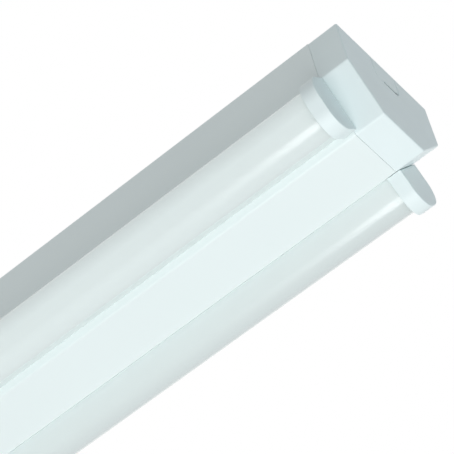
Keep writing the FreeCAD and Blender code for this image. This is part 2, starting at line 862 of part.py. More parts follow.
def plug_bracket():
    """Folded bracket that stands on the centre flat and carries the plug, open for the leads."""
    half_width = plug_width / 2
    window = half_width - bracket_leg
    plate = box((plug_x - plug_length / 2, bracket_web_x + bracket_sheet), (-half_width, half_width),
                (plug_bottom_z - bracket_sheet, plug_bottom_z))
    web = box((bracket_web_x, bracket_web_x + bracket_sheet), (-half_width, half_width),
              (flat_inner_z, plug_bottom_z))
    foot = box((bracket_web_x, bracket_web_x + bracket_foot), (-half_width, half_width),
               (flat_inner_z, flat_inner_z + bracket_sheet))
    web_window = box((bracket_web_x - cut_over, bracket_web_x + bracket_sheet + cut_over),
                     (-window, window),
                     (flat_inner_z + bracket_sheet, plug_bottom_z - bracket_sheet - bracket_leg))
    holes = [web_window]
    for y in pole_places:
        holes.append(rod(mains_lead_radius + 2 * hole_clearance,
                         (plug_x, y, plug_bottom_z - bracket_sheet - cut_over),
                         (plug_x, y, plug_bottom_z + cut_over)))
    for x, y in plug_peg_places():
        holes.append(rod(plug_peg_radius + hole_clearance,
                         (x, y, plug_bottom_z - bracket_sheet - cut_over),
                         (x, y, plug_bottom_z + cut_over)))
    return plate.fuse([web, foot]).removeSplitter().cut(holes)


def driver_body_range():
    """Limits along X of the driver's tall middle part."""
    return (driver_x + driver_step_length, driver_end_x - driver_step_length)


def driver_case():
    """Driver tub with a step at each end for a terminal and a fixing tab beyond each step."""
    start, end = driver_body_range()
    top_z = flat_inner_z + driver_height - driver_lid_height
    low = box((driver_x, driver_end_x), about(0, driver_width), (flat_inner_z, driver_step_z))
    tall = box((start, end), about(0, driver_width), (flat_inner_z, top_z))
    tabs = box((driver_x - driver_tab_length, driver_end_x + driver_tab_length),
               about(0, driver_tab_width), (flat_inner_z, flat_inner_z + driver_tab_height))
    hollow = box((start + driver_wall, end - driver_wall), about(0, driver_width - 2 * driver_wall),
                 (flat_inner_z + driver_wall, top_z + cut_over))
    holes = [hollow]
    for x in stud_places()[1:]:
        holes.append(rod(stud_radius + hole_clearance, (x, 0, flat_inner_z - cut_over),
                         (x, 0, flat_inner_z + driver_tab_height + cut_over)))
    return low.fuse([tall, tabs]).removeSplitter().cut(holes)


def driver_lid():
    """Lid on the driver, with a rim that drops inside its walls."""
    start, end = driver_body_range()
    top_z = flat_inner_z + driver_height
    seat_z = top_z - driver_lid_height
    plate = box((start, end), about(0, driver_width), (seat_z, top_z))
    inset = driver_wall + driver_lid_clearance
    rim = box((start + inset, end - inset), about(0, driver_width - 2 * inset),
              (seat_z - driver_lid_rim, seat_z))
    inset += driver_wall
    hollow = box((start + inset, end - inset), about(0, driver_width - 2 * inset),
                 (seat_z - driver_lid_rim - cut_over, seat_z))
    return plate.fuse(rim.cut(hollow)).removeSplitter()


def driver_board_range():
    """Limits along X and heights of the board inside the driver."""
    start, end = driver_body_range()
    inset = driver_wall + driver_board_gap
    low_z = flat_inner_z + driver_wall + driver_board_height
    return (start + inset, end - inset), (low_z, low_z + driver_board_thickness)


def driver_board():
    """Circuit board inside the driver, on four short posts."""
    x_range, z_range = driver_board_range()
    width = driver_width - 2 * (driver_wall + driver_board_gap)
    plate = box(x_range, about(0, width), z_range)
    posts = []
    for x in (x_range[0] + driver_board_height, x_range[1] - driver_board_height):
        for side in sides.values():
            y = side * (width / 2 - driver_board_height)
            posts.append(rod(driver_board_thickness, (x, y, flat_inner_z + driver_wall),
                             (x, y, z_range[0])))
    return plate.fuse(posts)


def driver_components():
    """Transformer, choke and storage capacitors on the driver's board."""
    x_range, z_range = driver_board_range()
    floor = z_range[1]
    middle = (x_range[0] + x_range[1]) / 2
    parts = [box(about(middle, transformer_length), about(0, transformer_width),
                 (floor, floor + transformer_height))]
    choke_x = middle - transformer_length - choke_length
    parts.append(box(about(choke_x, choke_length), about(0, choke_width),
                     (floor, floor + choke_height)))
    for index in range(2):
        x = middle + transformer_length + index * capacitor_pitch
        parts.append(rod(capacitor_radius, (x, 0, floor), (x, 0, floor + capacitor_height)))
    return Part.makeCompound(parts)


def driver_terminal(places, face_x, inward):
    """Push-in terminal on a step of the driver, bored for the leads at the given places."""
    depth = driver_step_length - driver_terminal_gap
    x_range = sorted((face_x, face_x + inward * depth))
    body = box(x_range, about(0, driver_terminal_width),
               (driver_step_z, driver_step_z + driver_terminal_height))
    bores = []
    for y, radius in places:
        bores.append(rod(radius + hole_clearance, (face_x - inward * cut_over, y, driver_lead_z),
                         (face_x + inward * (driver_terminal_bite + hole_clearance), y, driver_lead_z)))
    return body.cut(bores)


def mains_terminal_y(pole):
    """Place across the driver of the live or neutral entry, half-way to its pole's place."""
    return pole * pole_pitch / 2


def tube_lead_y(side, order):
    """Place across the driver of one lead of one tube."""
    return side * (order + 0.5) * tube_lead_pitch


def driver_input_terminal():
    places = [(mains_terminal_y(pole), mains_lead_radius) for pole in (-1, 1)]
    return driver_terminal(places, driver_x, 1)


def driver_output_terminal():
    places = [(tube_lead_y(side, order), tube_lead_radius)
              for side in sides.values() for order in range(2)]
    return driver_terminal(places, driver_end_x, -1)


def weld_studs():
    """Studs welded to the inside of the centre flat."""
    return Part.makeCompound([rod(stud_radius, (x, 0, flat_inner_z), (x, 0, flat_inner_z + stud_length))
                              for x in stud_places()])


def nut(x, seat_z):
    """Hexagon nut on a stud."""
    corner = nut_across_flats / math.sqrt(3)
    points = []
    for index in range(7):
        angle = math.radians(60 * index)
        points.append(FreeCAD.Vector(x + corner * math.cos(angle), corner * math.sin(angle), seat_z))
    body = Part.Face(Part.makePolygon(points)).extrude(FreeCAD.Vector(0, 0, nut_height))
    return body.cut(rod(stud_radius + hole_clearance / 2, (x, 0, seat_z - cut_over),
                        (x, 0, seat_z + nut_height + cut_over)))


def stud_nuts():
    """Nuts on the earth stud and on the two driver studs."""
    earth_x, first_x, second_x = stud_places()
    tab_z = flat_inner_z + driver_tab_height
    return Part.makeCompound([nut(earth_x, flat_inner_z + tag_thickness), nut(first_x, tab_z),
                              nut(second_x, tab_z)])


def tag_barrel_range():
    """Limits along X of the barrel that grips the earth lead."""
    end = earth_stud_x - tag_neck_length + tag_barrel_length / 2
    return (end - tag_barrel_length, end)


def earth_tag():
    """Ring tag under the earth nut, with a raised barrel for its lead."""
    ring_top = flat_inner_z + tag_thickness
    ring = rod(tag_radius, (earth_stud_x, 0, flat_inner_z), (earth_stud_x, 0, ring_top))
    start, end = tag_barrel_range()
    foot_end = bracket_web_x + bracket_foot + tag_thickness
    neck = box((foot_end, earth_stud_x), about(0, tag_neck_width), (flat_inner_z, ring_top))
    rise = box((foot_end, foot_end + tag_thickness), about(0, tag_neck_width),
               (flat_inner_z, tag_barrel_z))
    barrel = rod(tag_barrel_radius, (start, 0, tag_barrel_z), (end, 0, tag_barrel_z))
    bore = rod(mains_lead_radius + hole_clearance / 2, (start - cut_over, 0, tag_barrel_z),
               (end + cut_over, 0, tag_barrel_z))
    hole = rod(stud_radius + hole_clearance, (earth_stud_x, 0, flat_inner_z - cut_over),
               (earth_stud_x, 0, ring_top + cut_over))
    return ring.fuse([neck, rise, barrel]).removeSplitter().cut([bore, hole])


def lead(points, radius):
    """Insulated lead along straight runs, with each corner rounded as widely as its runs allow."""
    points = [FreeCAD.Vector(*point) for point in points]
    bends = [0]
    for before, corner, after in zip(points, points[1:], points[2:]):
        turn = (corner - before).getAngle(after - corner)
        run = min((corner - before).Length, (after - corner).Length)
        bends.append(0.45 * run / math.tan(turn / 2))
    path = Part.Wire(rounded_run(points, bends + [0]))
    section = Part.Wire(Part.makeCircle(radius, points[0], points[1] - points[0]))
    solid = path.makePipeShell([section], True, False)
    share = solid.Volume / (math.pi * radius ** 2 * path.Length)
    print("lead: length %.0f, tightest bend %.1f, volume share %.4f"
          % (path.Length, min(bends[1:]), share))
    return solid


def mains_lead(pole):
    """Lead from the plug's outer pin to the driver's input terminal."""
    y = pole * pole_pitch
    terminal_y = mains_terminal_y(pole)
    start_z = plug_top_z - pin_depth
    drop_z = plug_bottom_z - lead_drop
    run = driver_x - plug_x
    return lead([(plug_x, y, start_z), (plug_x, y, drop_z),
                 (plug_x + run / 3, y, driver_lead_z),
                 (plug_x + run * 2 / 3, terminal_y, driver_lead_z),
                 (driver_x + driver_terminal_bite, terminal_y, driver_lead_z)], mains_lead_radius)


def earth_lead():
    """Lead from the plug's middle pin to the earth tag on the cover."""
    start_z = plug_top_z - pin_depth
    drop_z = plug_bottom_z - lead_drop
    start, end = tag_barrel_range()
    bend_x = (plug_x + start) / 2
    return lead([(plug_x, 0, start_z), (plug_x, 0, drop_z), (bend_x, 0, tag_barrel_z),
                 (end, 0, tag_barrel_z)], mains_lead_radius)


def tube_lead(side, order):
    """Lead from the driver's output through the slope's grommet to the tube's feed connector."""
    y = tube_lead_y(side, order)
    feed = feed_x + feed_lead_steps()[order]
    start = (driver_end_x - driver_terminal_bite, y, driver_lead_z)
    turn = (driver_end_x + tube_lead_run / 2, y, driver_lead_z)
    above = slope_point(feed, 0, -tube_lead_back, side)
    end = slope_point(feed, 0, board_top + tube_lead_bite, side)
    return lead([start, turn, tuple(above), tuple(end)], tube_lead_radius)


def build():
    """Every piece of the fitting under its own name."""
    near_end_cap = end_cap()
    pieces = {
        "base_tray": base_tray(),
        "cable_grommet": cable_grommet(),
        "terminal_block": terminal_block(),
        "terminal_screws": terminal_screws(),
        "terminal_button_live": terminal_button(pole_places[2]),
        "terminal_button_earth": terminal_button(pole_places[1]),
        "terminal_button_neutral": terminal_button(pole_places[0]),
        "cover_clips": at_every_clip(cover_clip),
        "clip_rivets": at_every_clip(clip_rivet),
        "spine_cover": spine_cover(),
        "plug_bracket": plug_bracket(),
        "gear_plug": gear_plug(),
        "plug_pins": plug_pins(),
        "driver_case": driver_case(),
        "driver_lid": driver_lid(),
        "driver_board": driver_board(),
        "driver_components": driver_components(),
        "driver_input_terminal": driver_input_terminal(),
        "driver_output_terminal": driver_output_terminal(),
        "weld_studs": weld_studs(),
        "stud_nuts": stud_nuts(),
        "earth_tag": earth_tag(),
        "live_lead": mains_lead(1),
        "neutral_lead": mains_lead(-1),
        "earth_lead": earth_lead(),
        "end_cap_near": near_end_cap,
        "end_cap_far": turned_round(near_end_cap),
    }
    near_cap = diffuser_cap()
    for name, side in sides.items():
        pieces["led_carrier_" + name] = on_slope(carrier(), side)
        pieces["carrier_screws_" + name] = on_slope(carrier_screws(), side)
        pieces["led_boards_" + name] = on_slope(led_boards(), side)
        pieces["led_chips_" + name] = on_slope(led_chips(), side)
        pieces["board_screws_" + name] = on_slope(board_screws(), side)
        pieces["board_links_" + name] = on_slope(board_links(), side)
        pieces["feed_connector_" + name] = on_slope(feed_connector(), side)
        pieces["lead_grommet_" + name] = on_slope(lead_grommet(), side)
        pieces["diffuser_" + name] = on_slope(diffuser(), side)
        pieces["diffuser_cap_" + name + "_near"] = on_slope(near_cap, side)
        pieces["diffuser_cap_" + name + "_far"] = turned_round(on_slope(near_cap, -side))
        pieces["tube_lead_" + name + "_positive"] = tube_lead(side, 0)
        pieces["tube_lead_" + name + "_negative"] = tube_lead(side, 1)
    return pieces


os.makedirs("parts", exist_ok=True)
for piece_name, piece_shape in build().items():
    piece_shape.exportStep("parts/" + piece_name + ".step")
    print(piece_name, "solids", len(piece_shape.Solids), "valid", piece_shape.isValid(),
          "volume %.0f" % piece_shape.Volume)
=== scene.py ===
# %% [markdown]
# # A twin-tube ceiling batten
# The fitting is a long lamp that is screwed flat to a ceiling and is seen here from below.
# A folded white steel body carries two opal tubes on its sloped faces, and moulded caps close
# the ends. Its solids come from a CAD model, which gives every piece its exact place. The
# lesson dresses that model: it keeps the solids that already look right, remakes the ones
# that need finer forms, and gives every surface a finish of its own.

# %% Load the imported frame
import bpy
import bmesh
import math
from mathutils import Matrix, Vector


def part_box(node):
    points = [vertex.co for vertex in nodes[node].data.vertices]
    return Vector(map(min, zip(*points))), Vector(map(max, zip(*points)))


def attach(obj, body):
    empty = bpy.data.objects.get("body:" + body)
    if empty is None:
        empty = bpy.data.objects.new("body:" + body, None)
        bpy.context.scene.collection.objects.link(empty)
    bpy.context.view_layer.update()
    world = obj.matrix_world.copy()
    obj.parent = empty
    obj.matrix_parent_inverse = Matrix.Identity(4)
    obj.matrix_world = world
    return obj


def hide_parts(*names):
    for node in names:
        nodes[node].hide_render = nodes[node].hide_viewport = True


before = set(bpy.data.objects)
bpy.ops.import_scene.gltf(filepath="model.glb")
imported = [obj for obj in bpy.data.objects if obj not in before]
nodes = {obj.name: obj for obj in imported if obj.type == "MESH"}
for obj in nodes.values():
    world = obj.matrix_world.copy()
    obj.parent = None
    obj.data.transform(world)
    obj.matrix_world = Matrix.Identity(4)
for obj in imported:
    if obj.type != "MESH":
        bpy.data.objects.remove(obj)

scene = bpy.context.scene
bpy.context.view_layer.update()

# %% [markdown]
# ## The camera
# The picture is taken from below one end with a long lens, so the lines of the fitting hardly
# converge. A camera can be aimed with a constraint or by hand; here three directions, to the
# right, up and forward in the picture, are written into its matrix, because that also fixes
# the slight tilt of the picture. The place is measured from the end of the near cap.

# %% Camera
near_end_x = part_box("end_cap_near")[1].x
camera_place = Vector((near_end_x + 0.31826, -0.81749, -1.12573))
camera_forward = Vector((-0.32024, 0.56999, 0.75667)).normalized()
camera_right = Vector((0.76208, 0.62947, -0.15165)).normalized()
camera_up = camera_right.cross(camera_forward)

camera_data = bpy.data.cameras.new("camera")
camera_data.sensor_width = 36.0
camera_data.lens = 171.56
camera = bpy.data.objects.new("camera", camera_data)
scene.collection.objects.link(camera)
axes = Matrix((camera_right, camera_up, -camera_forward)).transposed()
camera.matrix_world = Matrix.Translation(camera_place) @ axes.to_4x4()
scene.camera = camera
scene.view_settings.view_transform = "Standard"
print("camera:", tuple(round(value, 3) for value in camera_place), "lens", camera_data.lens)

# %% [markdown]
# ## Adding nodes by script
# Finishes, the surroundings and the shape trees are all node trees, and each node is made,
# set and wired. Doing that line by line is long, so one helper does all three: it takes the
# node's own choices as keywords, and a table of what goes into each socket.

# %% A helper for every node tree
def add(tree, kind, given=None, **choices):
    """One node in a tree: choices are its own settings, given fills its sockets."""
    node = tree.nodes.new(kind)
    for choice, value in choices.items():
        setattr(node, choice, value)
    for socket, value in (given or {}).items():
        if isinstance(value, bpy.types.NodeSocket):
            tree.links.new(value, node.inputs[socket])
        else:
            node.inputs[socket].default_value = value
    return node


def math_node(tree, operation, first, second=0.0):
    """Result of one sum of numbers or sockets."""
    return add(tree, "ShaderNodeMath", {0: first, 1: second}, operation=operation).outputs[0]


print("node helpers ready")

# %% [markdown]
# ## White surroundings
# The fitting is shown on pure white. A brighter lamp would burn out its pale paint, so the
# white is painted instead: the Light Path node tells the world which rays come straight from
# the camera, or by way of a gloss or a glass, and only those see a strength of one. All other
# rays see a softer sky that fills the shadows. That sky is a little cooler towards the near
# end, which gives the end faces their bluer white.

# %% World
sky_fill = 0.46
sky_seen = 1.0
plain_sky = (1.0, 1.0, 1.0, 1.0)
cool_sky = (0.80, 0.915, 0.98, 1.0)


def seen_directly(tree):
    """One for rays that show the surroundings to the camera, nought for rays that light."""
    path = add(tree, "ShaderNodeLightPath").outputs
    seen = math_node(tree, "MAXIMUM", path["Is Camera Ray"], path["Is Glossy Ray"])
    return math_node(tree, "MAXIMUM", seen, path["Is Transmission Ray"])


world = bpy.data.worlds.new("white_surroundings")
world.use_nodes = True
scene.world = world
sky = world.node_tree
seen = seen_directly(sky)
strength = add(sky, "ShaderNodeMapRange", {"Value": seen, "To Min": sky_fill, "To Max": sky_seen})
direction = add(sky, "ShaderNodeTexCoord").outputs["Generated"]
near_way = add(sky, "ShaderNodeSeparateXYZ", {0: direction}).outputs["X"]
cool = math_node(sky, "MULTIPLY", math_node(sky, "MAXIMUM", near_way),
                 math_node(sky, "SUBTRACT", 1.0, seen))
tone = add(sky, "ShaderNodeMix", {"Factor": cool, "A": plain_sky, "B": cool_sky}, data_type="RGBA")
background = sky.nodes["Background"]
sky.links.new(tone.outputs["Result"], background.inputs["Color"])
sky.links.new(strength.outputs["Result"], background.inputs["Strength"])
print("sky: fills with", sky_fill, "and shows", sky_seen)

# %% [markdown]
# ## A pale floor
# The floor lies far under the fitting, so that a camera can go round it from below. It is a
# single pale face that answers to light as matt paint does, and shows the same white as the
# sky to the camera. It is no part of the fitting.

# %% Floor
floor_drop = 9.0
floor_reach = 6.0
floor_colour = (0.85, 0.85, 0.85, 1.0)
floor_roughness = 0.9


def pale_floor_finish():
    finish = bpy.data.materials.new("pale_floor")
    finish.use_nodes = True
    tree = finish.node_tree
    matt = tree.nodes["Principled BSDF"]
    matt.inputs["Base Color"].default_value = floor_colour
    matt.inputs["Roughness"].default_value = floor_roughness
    glow = add(tree, "ShaderNodeEmission", {"Strength": sky_seen})
    blend = add(tree, "ShaderNodeMixShader", {0: seen_directly(tree), 1: matt.outputs["BSDF"],
                                              2: glow.outputs["Emission"]})
    out = tree.nodes["Material Output"]
    tree.links.new(blend.outputs["Shader"], out.inputs["Surface"])
    return finish


floor_mesh = bpy.data.meshes.new("floor")
corners = [(x * floor_reach, y * floor_reach, -floor_drop)
           for x, y in ((-1, -1), (1, -1), (1, 1), (-1, 1))]
floor_mesh.from_pydata(corners, [], [(0, 1, 2, 3)])
floor_mesh.materials.append(pale_floor_finish())
floor = bpy.data.objects.new("floor", floor_mesh)
scene.collection.objects.link(floor)
print("floor:", floor_drop, "m below the ceiling")

# %% [markdown]
# ## A plain finish and its noise
# A finish starts from the Principled shader with the plain colour and roughness of the
# material. The life in it comes from noise on Object coordinates, which are metres here, so a
# noise scale of 500 gives a grain of about two millimetres. Stretching the noise along X draws
# the lines that a drawn or extruded metal has.

# %% Plain finish and noise
even = (1.0, 1.0, 1.0)


def shader_of(finish):
    return finish.node_tree.nodes["Principled BSDF"]


def new_finish(name, colour, roughness, metallic=0.0):
    """Material of one plain colour, ready for its detail."""
    finish = bpy.data.materials.new(name)
    finish.use_nodes = True
    sockets = shader_of(finish).inputs
    sockets["Base Color"].default_value = (*colour, 1.0)
    sockets["Roughness"].default_value = roughness
    sockets["Metallic"].default_value = metallic
    return finish


def into_shader(finish, value, socket):
    finish.node_tree.links.new(value, shader_of(finish).inputs[socket])


def mottle(finish, scale, stretch=even, detail=2.0):
    """Soft noise on the Object coordinates, drawn out along an axis where stretch is small."""
    tree = finish.node_tree
    place = add(tree, "ShaderNodeTexCoord").outputs["Object"]
    drawn = add(tree, "ShaderNodeMapping", {"Vector": place, "Scale": stretch})
    noise = add(tree, "ShaderNodeTexNoise",
                {"Vector": drawn.outputs["Vector"], "Scale": scale, "Detail": detail})
    return noise.outputs["Fac"]


print("plain finishes ready")

# %% [markdown]
# ## What the noise changes
# The same noise can drift the tone, spread the roughness and raise a grain. Most of a noise
# lies in its middle range, so the helpers stretch that range over the whole change. They start
# from the plain colour and roughness that the shader already has, so a finish only says how
# far each one strays.

# %% Tone, gloss and grain
noise_low = 0.3
noise_high = 0.7


def shift_colour(finish, pattern, low, high):
    """Base colour that goes from one tone to another with a pattern."""
    ramp = add(finish.node_tree, "ShaderNodeValToRGB", {"Fac": pattern})
    ends = ramp.color_ramp.elements
    for end, position, colour in zip(ends, (noise_low, noise_high), (low, high)):
        end.position = position
        end.color = (*colour, 1.0)
    into_shader(finish, ramp.outputs["Color"], "Base Color")


def shade(colour, share):
    """Colour made lighter or darker by a share of itself."""
    return tuple(min(1.0, part * (1.0 + share)) for part in colour)


def vary_tone(finish, pattern, darker, lighter):
    """Base colour that strays from its plain tone by these shares of it."""
    colour = shader_of(finish).inputs["Base Color"].default_value[:3]
    shift_colour(finish, pattern, shade(colour, -darker), shade(colour, lighter))


def vary_gloss(finish, pattern, less, more):
    """Roughness that strays from its plain value by these amounts."""
    plain = shader_of(finish).inputs["Roughness"].default_value
    spread = add(finish.node_tree, "ShaderNodeMapRange",
                 {"Value": pattern, "From Min": noise_low, "From Max": noise_high,
                  "To Min": plain - less, "To Max": plain + more})
    into_shader(finish, spread.outputs["Result"], "Roughness")


def raise_grain(finish, pattern, depth, *under):
    """Bump of a pattern, laid over another bump where one is given; hands its normal on."""
    bump = add(finish.node_tree, "ShaderNodeBump", {"Height": pattern, "Distance": depth})
    for normal in under:
        finish.node_tree.links.new(normal, bump.inputs["Normal"])
    into_shader(finish, bump.outputs["Normal"], "Normal")
    return bump.outputs["Normal"]


print("finish details ready")

# %% [markdown]
# ## Powder-coated steel
# The body and the tray are bent from thin sheet and powder coated. The powder melts into a
# white film that is smooth but never quite flat: it keeps a faint orange-peel wave of a
# millimetre or two. A gloss map could be painted, but noise gives that wave everywhere at
# once, with a slow drift in tone over the long faces.

# %% White paint
paint_colour = (0.815, 0.90, 0.897)
paint_roughness = 0.35
paint_gloss = 0.03
paint_drift = 0.012
paint_drift_scale = 5.0
orange_peel_scale = 650.0
orange_peel_depth = 0.000006


def powder_coat(name, colour):
    finish = new_finish(name, colour, paint_roughness)
    vary_tone(finish, mottle(finish, paint_drift_scale), paint_drift, paint_drift)
    peel = mottle(finish, orange_peel_scale)
    vary_gloss(finish, peel, paint_gloss, paint_gloss)
    raise_grain(finish, peel, orange_peel_depth)
    return finish


white_paint = powder_coat("powder_coated_steel", paint_colour)
print("finish:", white_paint.name)

# %% [markdown]
# ## Moulded plastics
# End caps, terminals and the driver's case come out of steel moulds whose walls are lightly
# spark eroded, and that leaves a fine even grain well under a millimetre. Each plastic only
# differs in colour and gloss, so one function makes them all.

# %% Moulded plastics
mould_drift = 0.015
mould_drift_scale = 30.0
mould_gloss = (0.04, 0.05)
mould_grain_scale = 2600.0
mould_grain_depth = 0.000004
cap_colour = (0.80, 0.90, 0.905)
cap_roughness = 0.4


def moulded_plastic(name, colour, roughness):
    finish = new_finish(name, colour, roughness)
    vary_tone(finish, mottle(finish, mould_drift_scale), mould_drift, mould_drift)
    grain = mottle(finish, mould_grain_scale)
    vary_gloss(finish, grain, *mould_gloss)
    raise_grain(finish, grain, mould_grain_depth)
    return finish


white_moulding = moulded_plastic("white_cap_moulding", cap_colour, cap_roughness)
terminal_plastic = moulded_plastic("terminal_moulding", (0.66, 0.68, 0.68), 0.42)
connector_plastic = moulded_plastic("connector_moulding", (0.80, 0.79, 0.74), 0.45)
driver_plastic = moulded_plastic("driver_moulding", (0.74, 0.76, 0.76), 0.38)
button_plastic = moulded_plastic("button_moulding", (0.78, 0.22, 0.03), 0.35)
component_sleeve = moulded_plastic("component_sleeve", (0.035, 0.045, 0.07), 0.4)
print("finishes:", white_moulding.name, terminal_plastic.name, button_plastic.name)

# %% [markdown]
# ## The cut in the end caps
# A cable knock-out is marked in each end cap, and its foot is a narrow cut, nearly as deep as
# the wall, for a blade. Little light gets into such a cut, so it reads as a dark line on the
# white face, and that shade is painted: a mask from the coordinates finds what lies below the
# face and inside the cut, and darkens its colour. A dark strip laid into it would do the same,
# but the mask needs no new piece.

# %% End cap finish with painted shade in its cut
cut_starts = 0.0004
cut_is_full = 0.0008
cut_ends = 0.0020
cut_half_width = 0.015
cut_low = -0.024
cut_shade = -0.6


def painted_cut_shade(tree):
    """Mask of painted shade: one inside the cut of an end cap, nought on its face and everywhere
    else.
    """
    place = add(tree, "ShaderNodeTexCoord").outputs["Object"]
    along, across, up = add(tree, "ShaderNodeSeparateXYZ", {0: place}).outputs
    out = math_node(tree, "ABSOLUTE", along)
    aside = math_node(tree, "ABSOLUTE", across)
    sunk = add(tree, "ShaderNodeMapRange",
               {"Value": out, "From Min": near_end_x - cut_starts,
                "From Max": near_end_x - cut_is_full})
    mask = sunk.outputs["Result"]
    for inside in (math_node(tree, "GREATER_THAN", out, near_end_x - cut_ends),
                   math_node(tree, "LESS_THAN", aside, cut_half_width),
                   math_node(tree, "GREATER_THAN", up, cut_low)):
        mask = math_node(tree, "MULTIPLY", mask, inside)
    return mask


def end_cap_plastic(name, colour):
    finish = moulded_plastic(name, colour, cap_roughness)
    tree = finish.node_tree
    plain = shader_of(finish).inputs["Base Color"].links[0].from_socket
    # Painted shade: the base colour is darkened inside the cut, where little light gets in
    dark = (*shade(colour, cut_shade), 1.0)
    darkened = add(tree, "ShaderNodeMix", {"Factor": painted_cut_shade(tree), "A": plain, "B": dark},
                   data_type="RGBA")
    into_shader(finish, darkened.outputs["Result"], "Base Color")
    return finish


end_cap_moulding = end_cap_plastic("end_cap_moulding", cap_colour)
print("finish:", end_cap_moulding.name)

# %% [markdown]
# ## Opal plastic
# A diffuser tube is extruded from opal plastic. Light goes in and is scattered back out, so
# the skin looks evenly lit, with a clear gloss on top. A real translucent shell would need
# the scattering traced through its hollow, which is slow and grainy; a plain white body under
# a soft gloss shows the same from outside. The die leaves faint lines along the tube and a
# slow waviness, which breaks the edge of the long reflection.

# %% Opal finish
opal_colour = (0.825, 0.91, 0.90)
opal_roughness = 0.16
opal_gloss = 0.015
opal_drift = 0.008
opal_drift_scale = 4.0
die_line_scale = 900.0
die_line_stretch = (0.012, 1.0, 1.0)
die_line_depth = 0.000002
wave_scale = 45.0
wave_stretch = (0.5, 1.0, 1.0)
wave_depth = 0.00012


def opal_plastic(name, colour):
    finish = new_finish(name, colour, opal_roughness)
    vary_tone(finish, mottle(finish, opal_drift_scale), opal_drift, opal_drift)
    lines = mottle(finish, die_line_scale, die_line_stretch)
    vary_gloss(finish, lines, opal_gloss, opal_gloss)
    wave = raise_grain(finish, mottle(finish, wave_scale, wave_stretch, detail=0.0), wave_depth)
    raise_grain(finish, lines, die_line_depth, wave)
    return finish


opal = opal_plastic("opal_extrusion", opal_colour)
print("finish:", opal.name)

# %% [markdown]
# ## Bare metals
# Carriers are extruded aluminium, fasteners are zinc-plated steel, clips are spring steel,
# pins are brass and weld studs have a copper flash. A metal is mostly its reflection, so its
# character lies in the roughness: fine lines along the length for an extrusion, a cloudy
# spread for plating.

# %% Bare metals
metal_tones = (0.06, 0.03)
metal_gloss = (0.08, 0.1)
metal_drift_size = 8.0
metal_mark_depth = 0.000003
along_x = (0.02, 1.0, 1.0)


def bare_metal(name, colour, roughness, scale, stretch):
    finish = new_finish(name, colour, roughness, metallic=1.0)
    vary_tone(finish, mottle(finish, scale / metal_drift_size), *metal_tones)
    marks = mottle(finish, scale, stretch)
    vary_gloss(finish, marks, *metal_gloss)
    raise_grain(finish, marks, metal_mark_depth)
    return finish


aluminium = bare_metal("extruded_aluminium", (0.80, 0.81, 0.82), 0.34, 1800.0, along_x)
zinc_steel = bare_metal("zinc_plated_steel", (0.66, 0.67, 0.68), 0.3, 900.0, even)
spring_steel = bare_metal("spring_steel", (0.40, 0.41, 0.43), 0.28, 1500.0, along_x)
brass = bare_metal("pin_brass", (0.76, 0.57, 0.22), 0.25, 1200.0, even)
copper_flash = bare_metal("copper_flash", (0.72, 0.40, 0.27), 0.32, 1000.0, even)
print("metals:", aluminium.name, zinc_steel.name, spring_steel.name, brass.name, copper_flash.name)

# %% [markdown]
# ## Rubber
# Grommets are matt black rubber with a dusty bloom. Black that is even all over looks like a
# hole in the picture, so the bloom lightens it in patches and a fine grain breaks its sheen.

# %% Rubber
rubber_roughness = 0.75
bloom_scale = 220.0
bloom_tones = (0.3, 0.6)
bloom_gloss = 0.1
rubber_grain_scale = 1800.0
rubber_grain_depth = 0.000006


def rubber_finish(name, colour):
    finish = new_finish(name, colour, rubber_roughness)
    bloom = mottle(finish, bloom_scale, detail=4.0)
    vary_tone(finish, bloom, *bloom_tones)
    vary_gloss(finish, bloom, bloom_gloss, bloom_gloss)
    raise_grain(finish, mottle(finish, rubber_grain_scale), rubber_grain_depth)
    return finish


rubber = rubber_finish("black_rubber", (0.022, 0.022, 0.024))
print("finish:", rubber.name)

# %% [markdown]
# ## Boards and LEDs
# The LED boards have a white solder mask so that they waste no light, and tracks show through
# it as a faint ribbing; the driver's board is green. The tracks could be drawn one by one, but
# noise that is stretched along the board gives the same look at this size. An LED package is a
# white cup with a yellow phosphor window.

# %% Boards and LEDs
mask_roughness = 0.3
mask_gloss = (0.05, 0.06)
mask_cloud_scale = 300.0
track_scale = 420.0
track_stretch = (0.05, 1.0, 1.0)
track_depth = 0.00002


def solder_mask(name, colour, track_share):
    """Lacquered board whose copper tracks run along X and lift the lacquer a little."""
    finish = new_finish(name, colour, mask_roughness)
    tracks = mottle(finish, track_scale, track_stretch, detail=0.0)
    vary_tone(finish, tracks, 0.0, track_share)
    vary_gloss(finish, mottle(finish, mask_cloud_scale), *mask_gloss)
    raise_grain(finish, tracks, track_depth)
    return finish


white_board = solder_mask("white_solder_mask", (0.80, 0.82, 0.81), -0.06)
green_board = solder_mask("green_solder_mask", (0.02, 0.16, 0.06), 0.35)
led_cup = moulded_plastic("led_cup", (0.85, 0.85, 0.83), 0.3)
phosphor = moulded_plastic("led_phosphor", (0.86, 0.66, 0.10), 0.5)
print("finishes:", white_board.name, green_board.name, led_cup.name, phosphor.name)

# %% [markdown]
# ## Lead insulation
# Inner leads have thin glossy insulation in the usual colours. The earth lead carries two
# colours side by side along its whole length. It lies in the plane where y is nought, so the
# sign of the Y coordinate is all that its stripe needs.

# %% Lead insulation
lead_roughness = 0.32
lead_gloss = 0.05
lead_drift = 0.08
lead_drift_scale = 160.0
stripe_blur = 0.00005


def insulation(name, colour):
    finish = new_finish(name, colour, lead_roughness)
    drift = mottle(finish, lead_drift_scale)
    vary_tone(finish, drift, lead_drift, lead_drift)
    vary_gloss(finish, drift, lead_gloss, lead_gloss)
    return finish


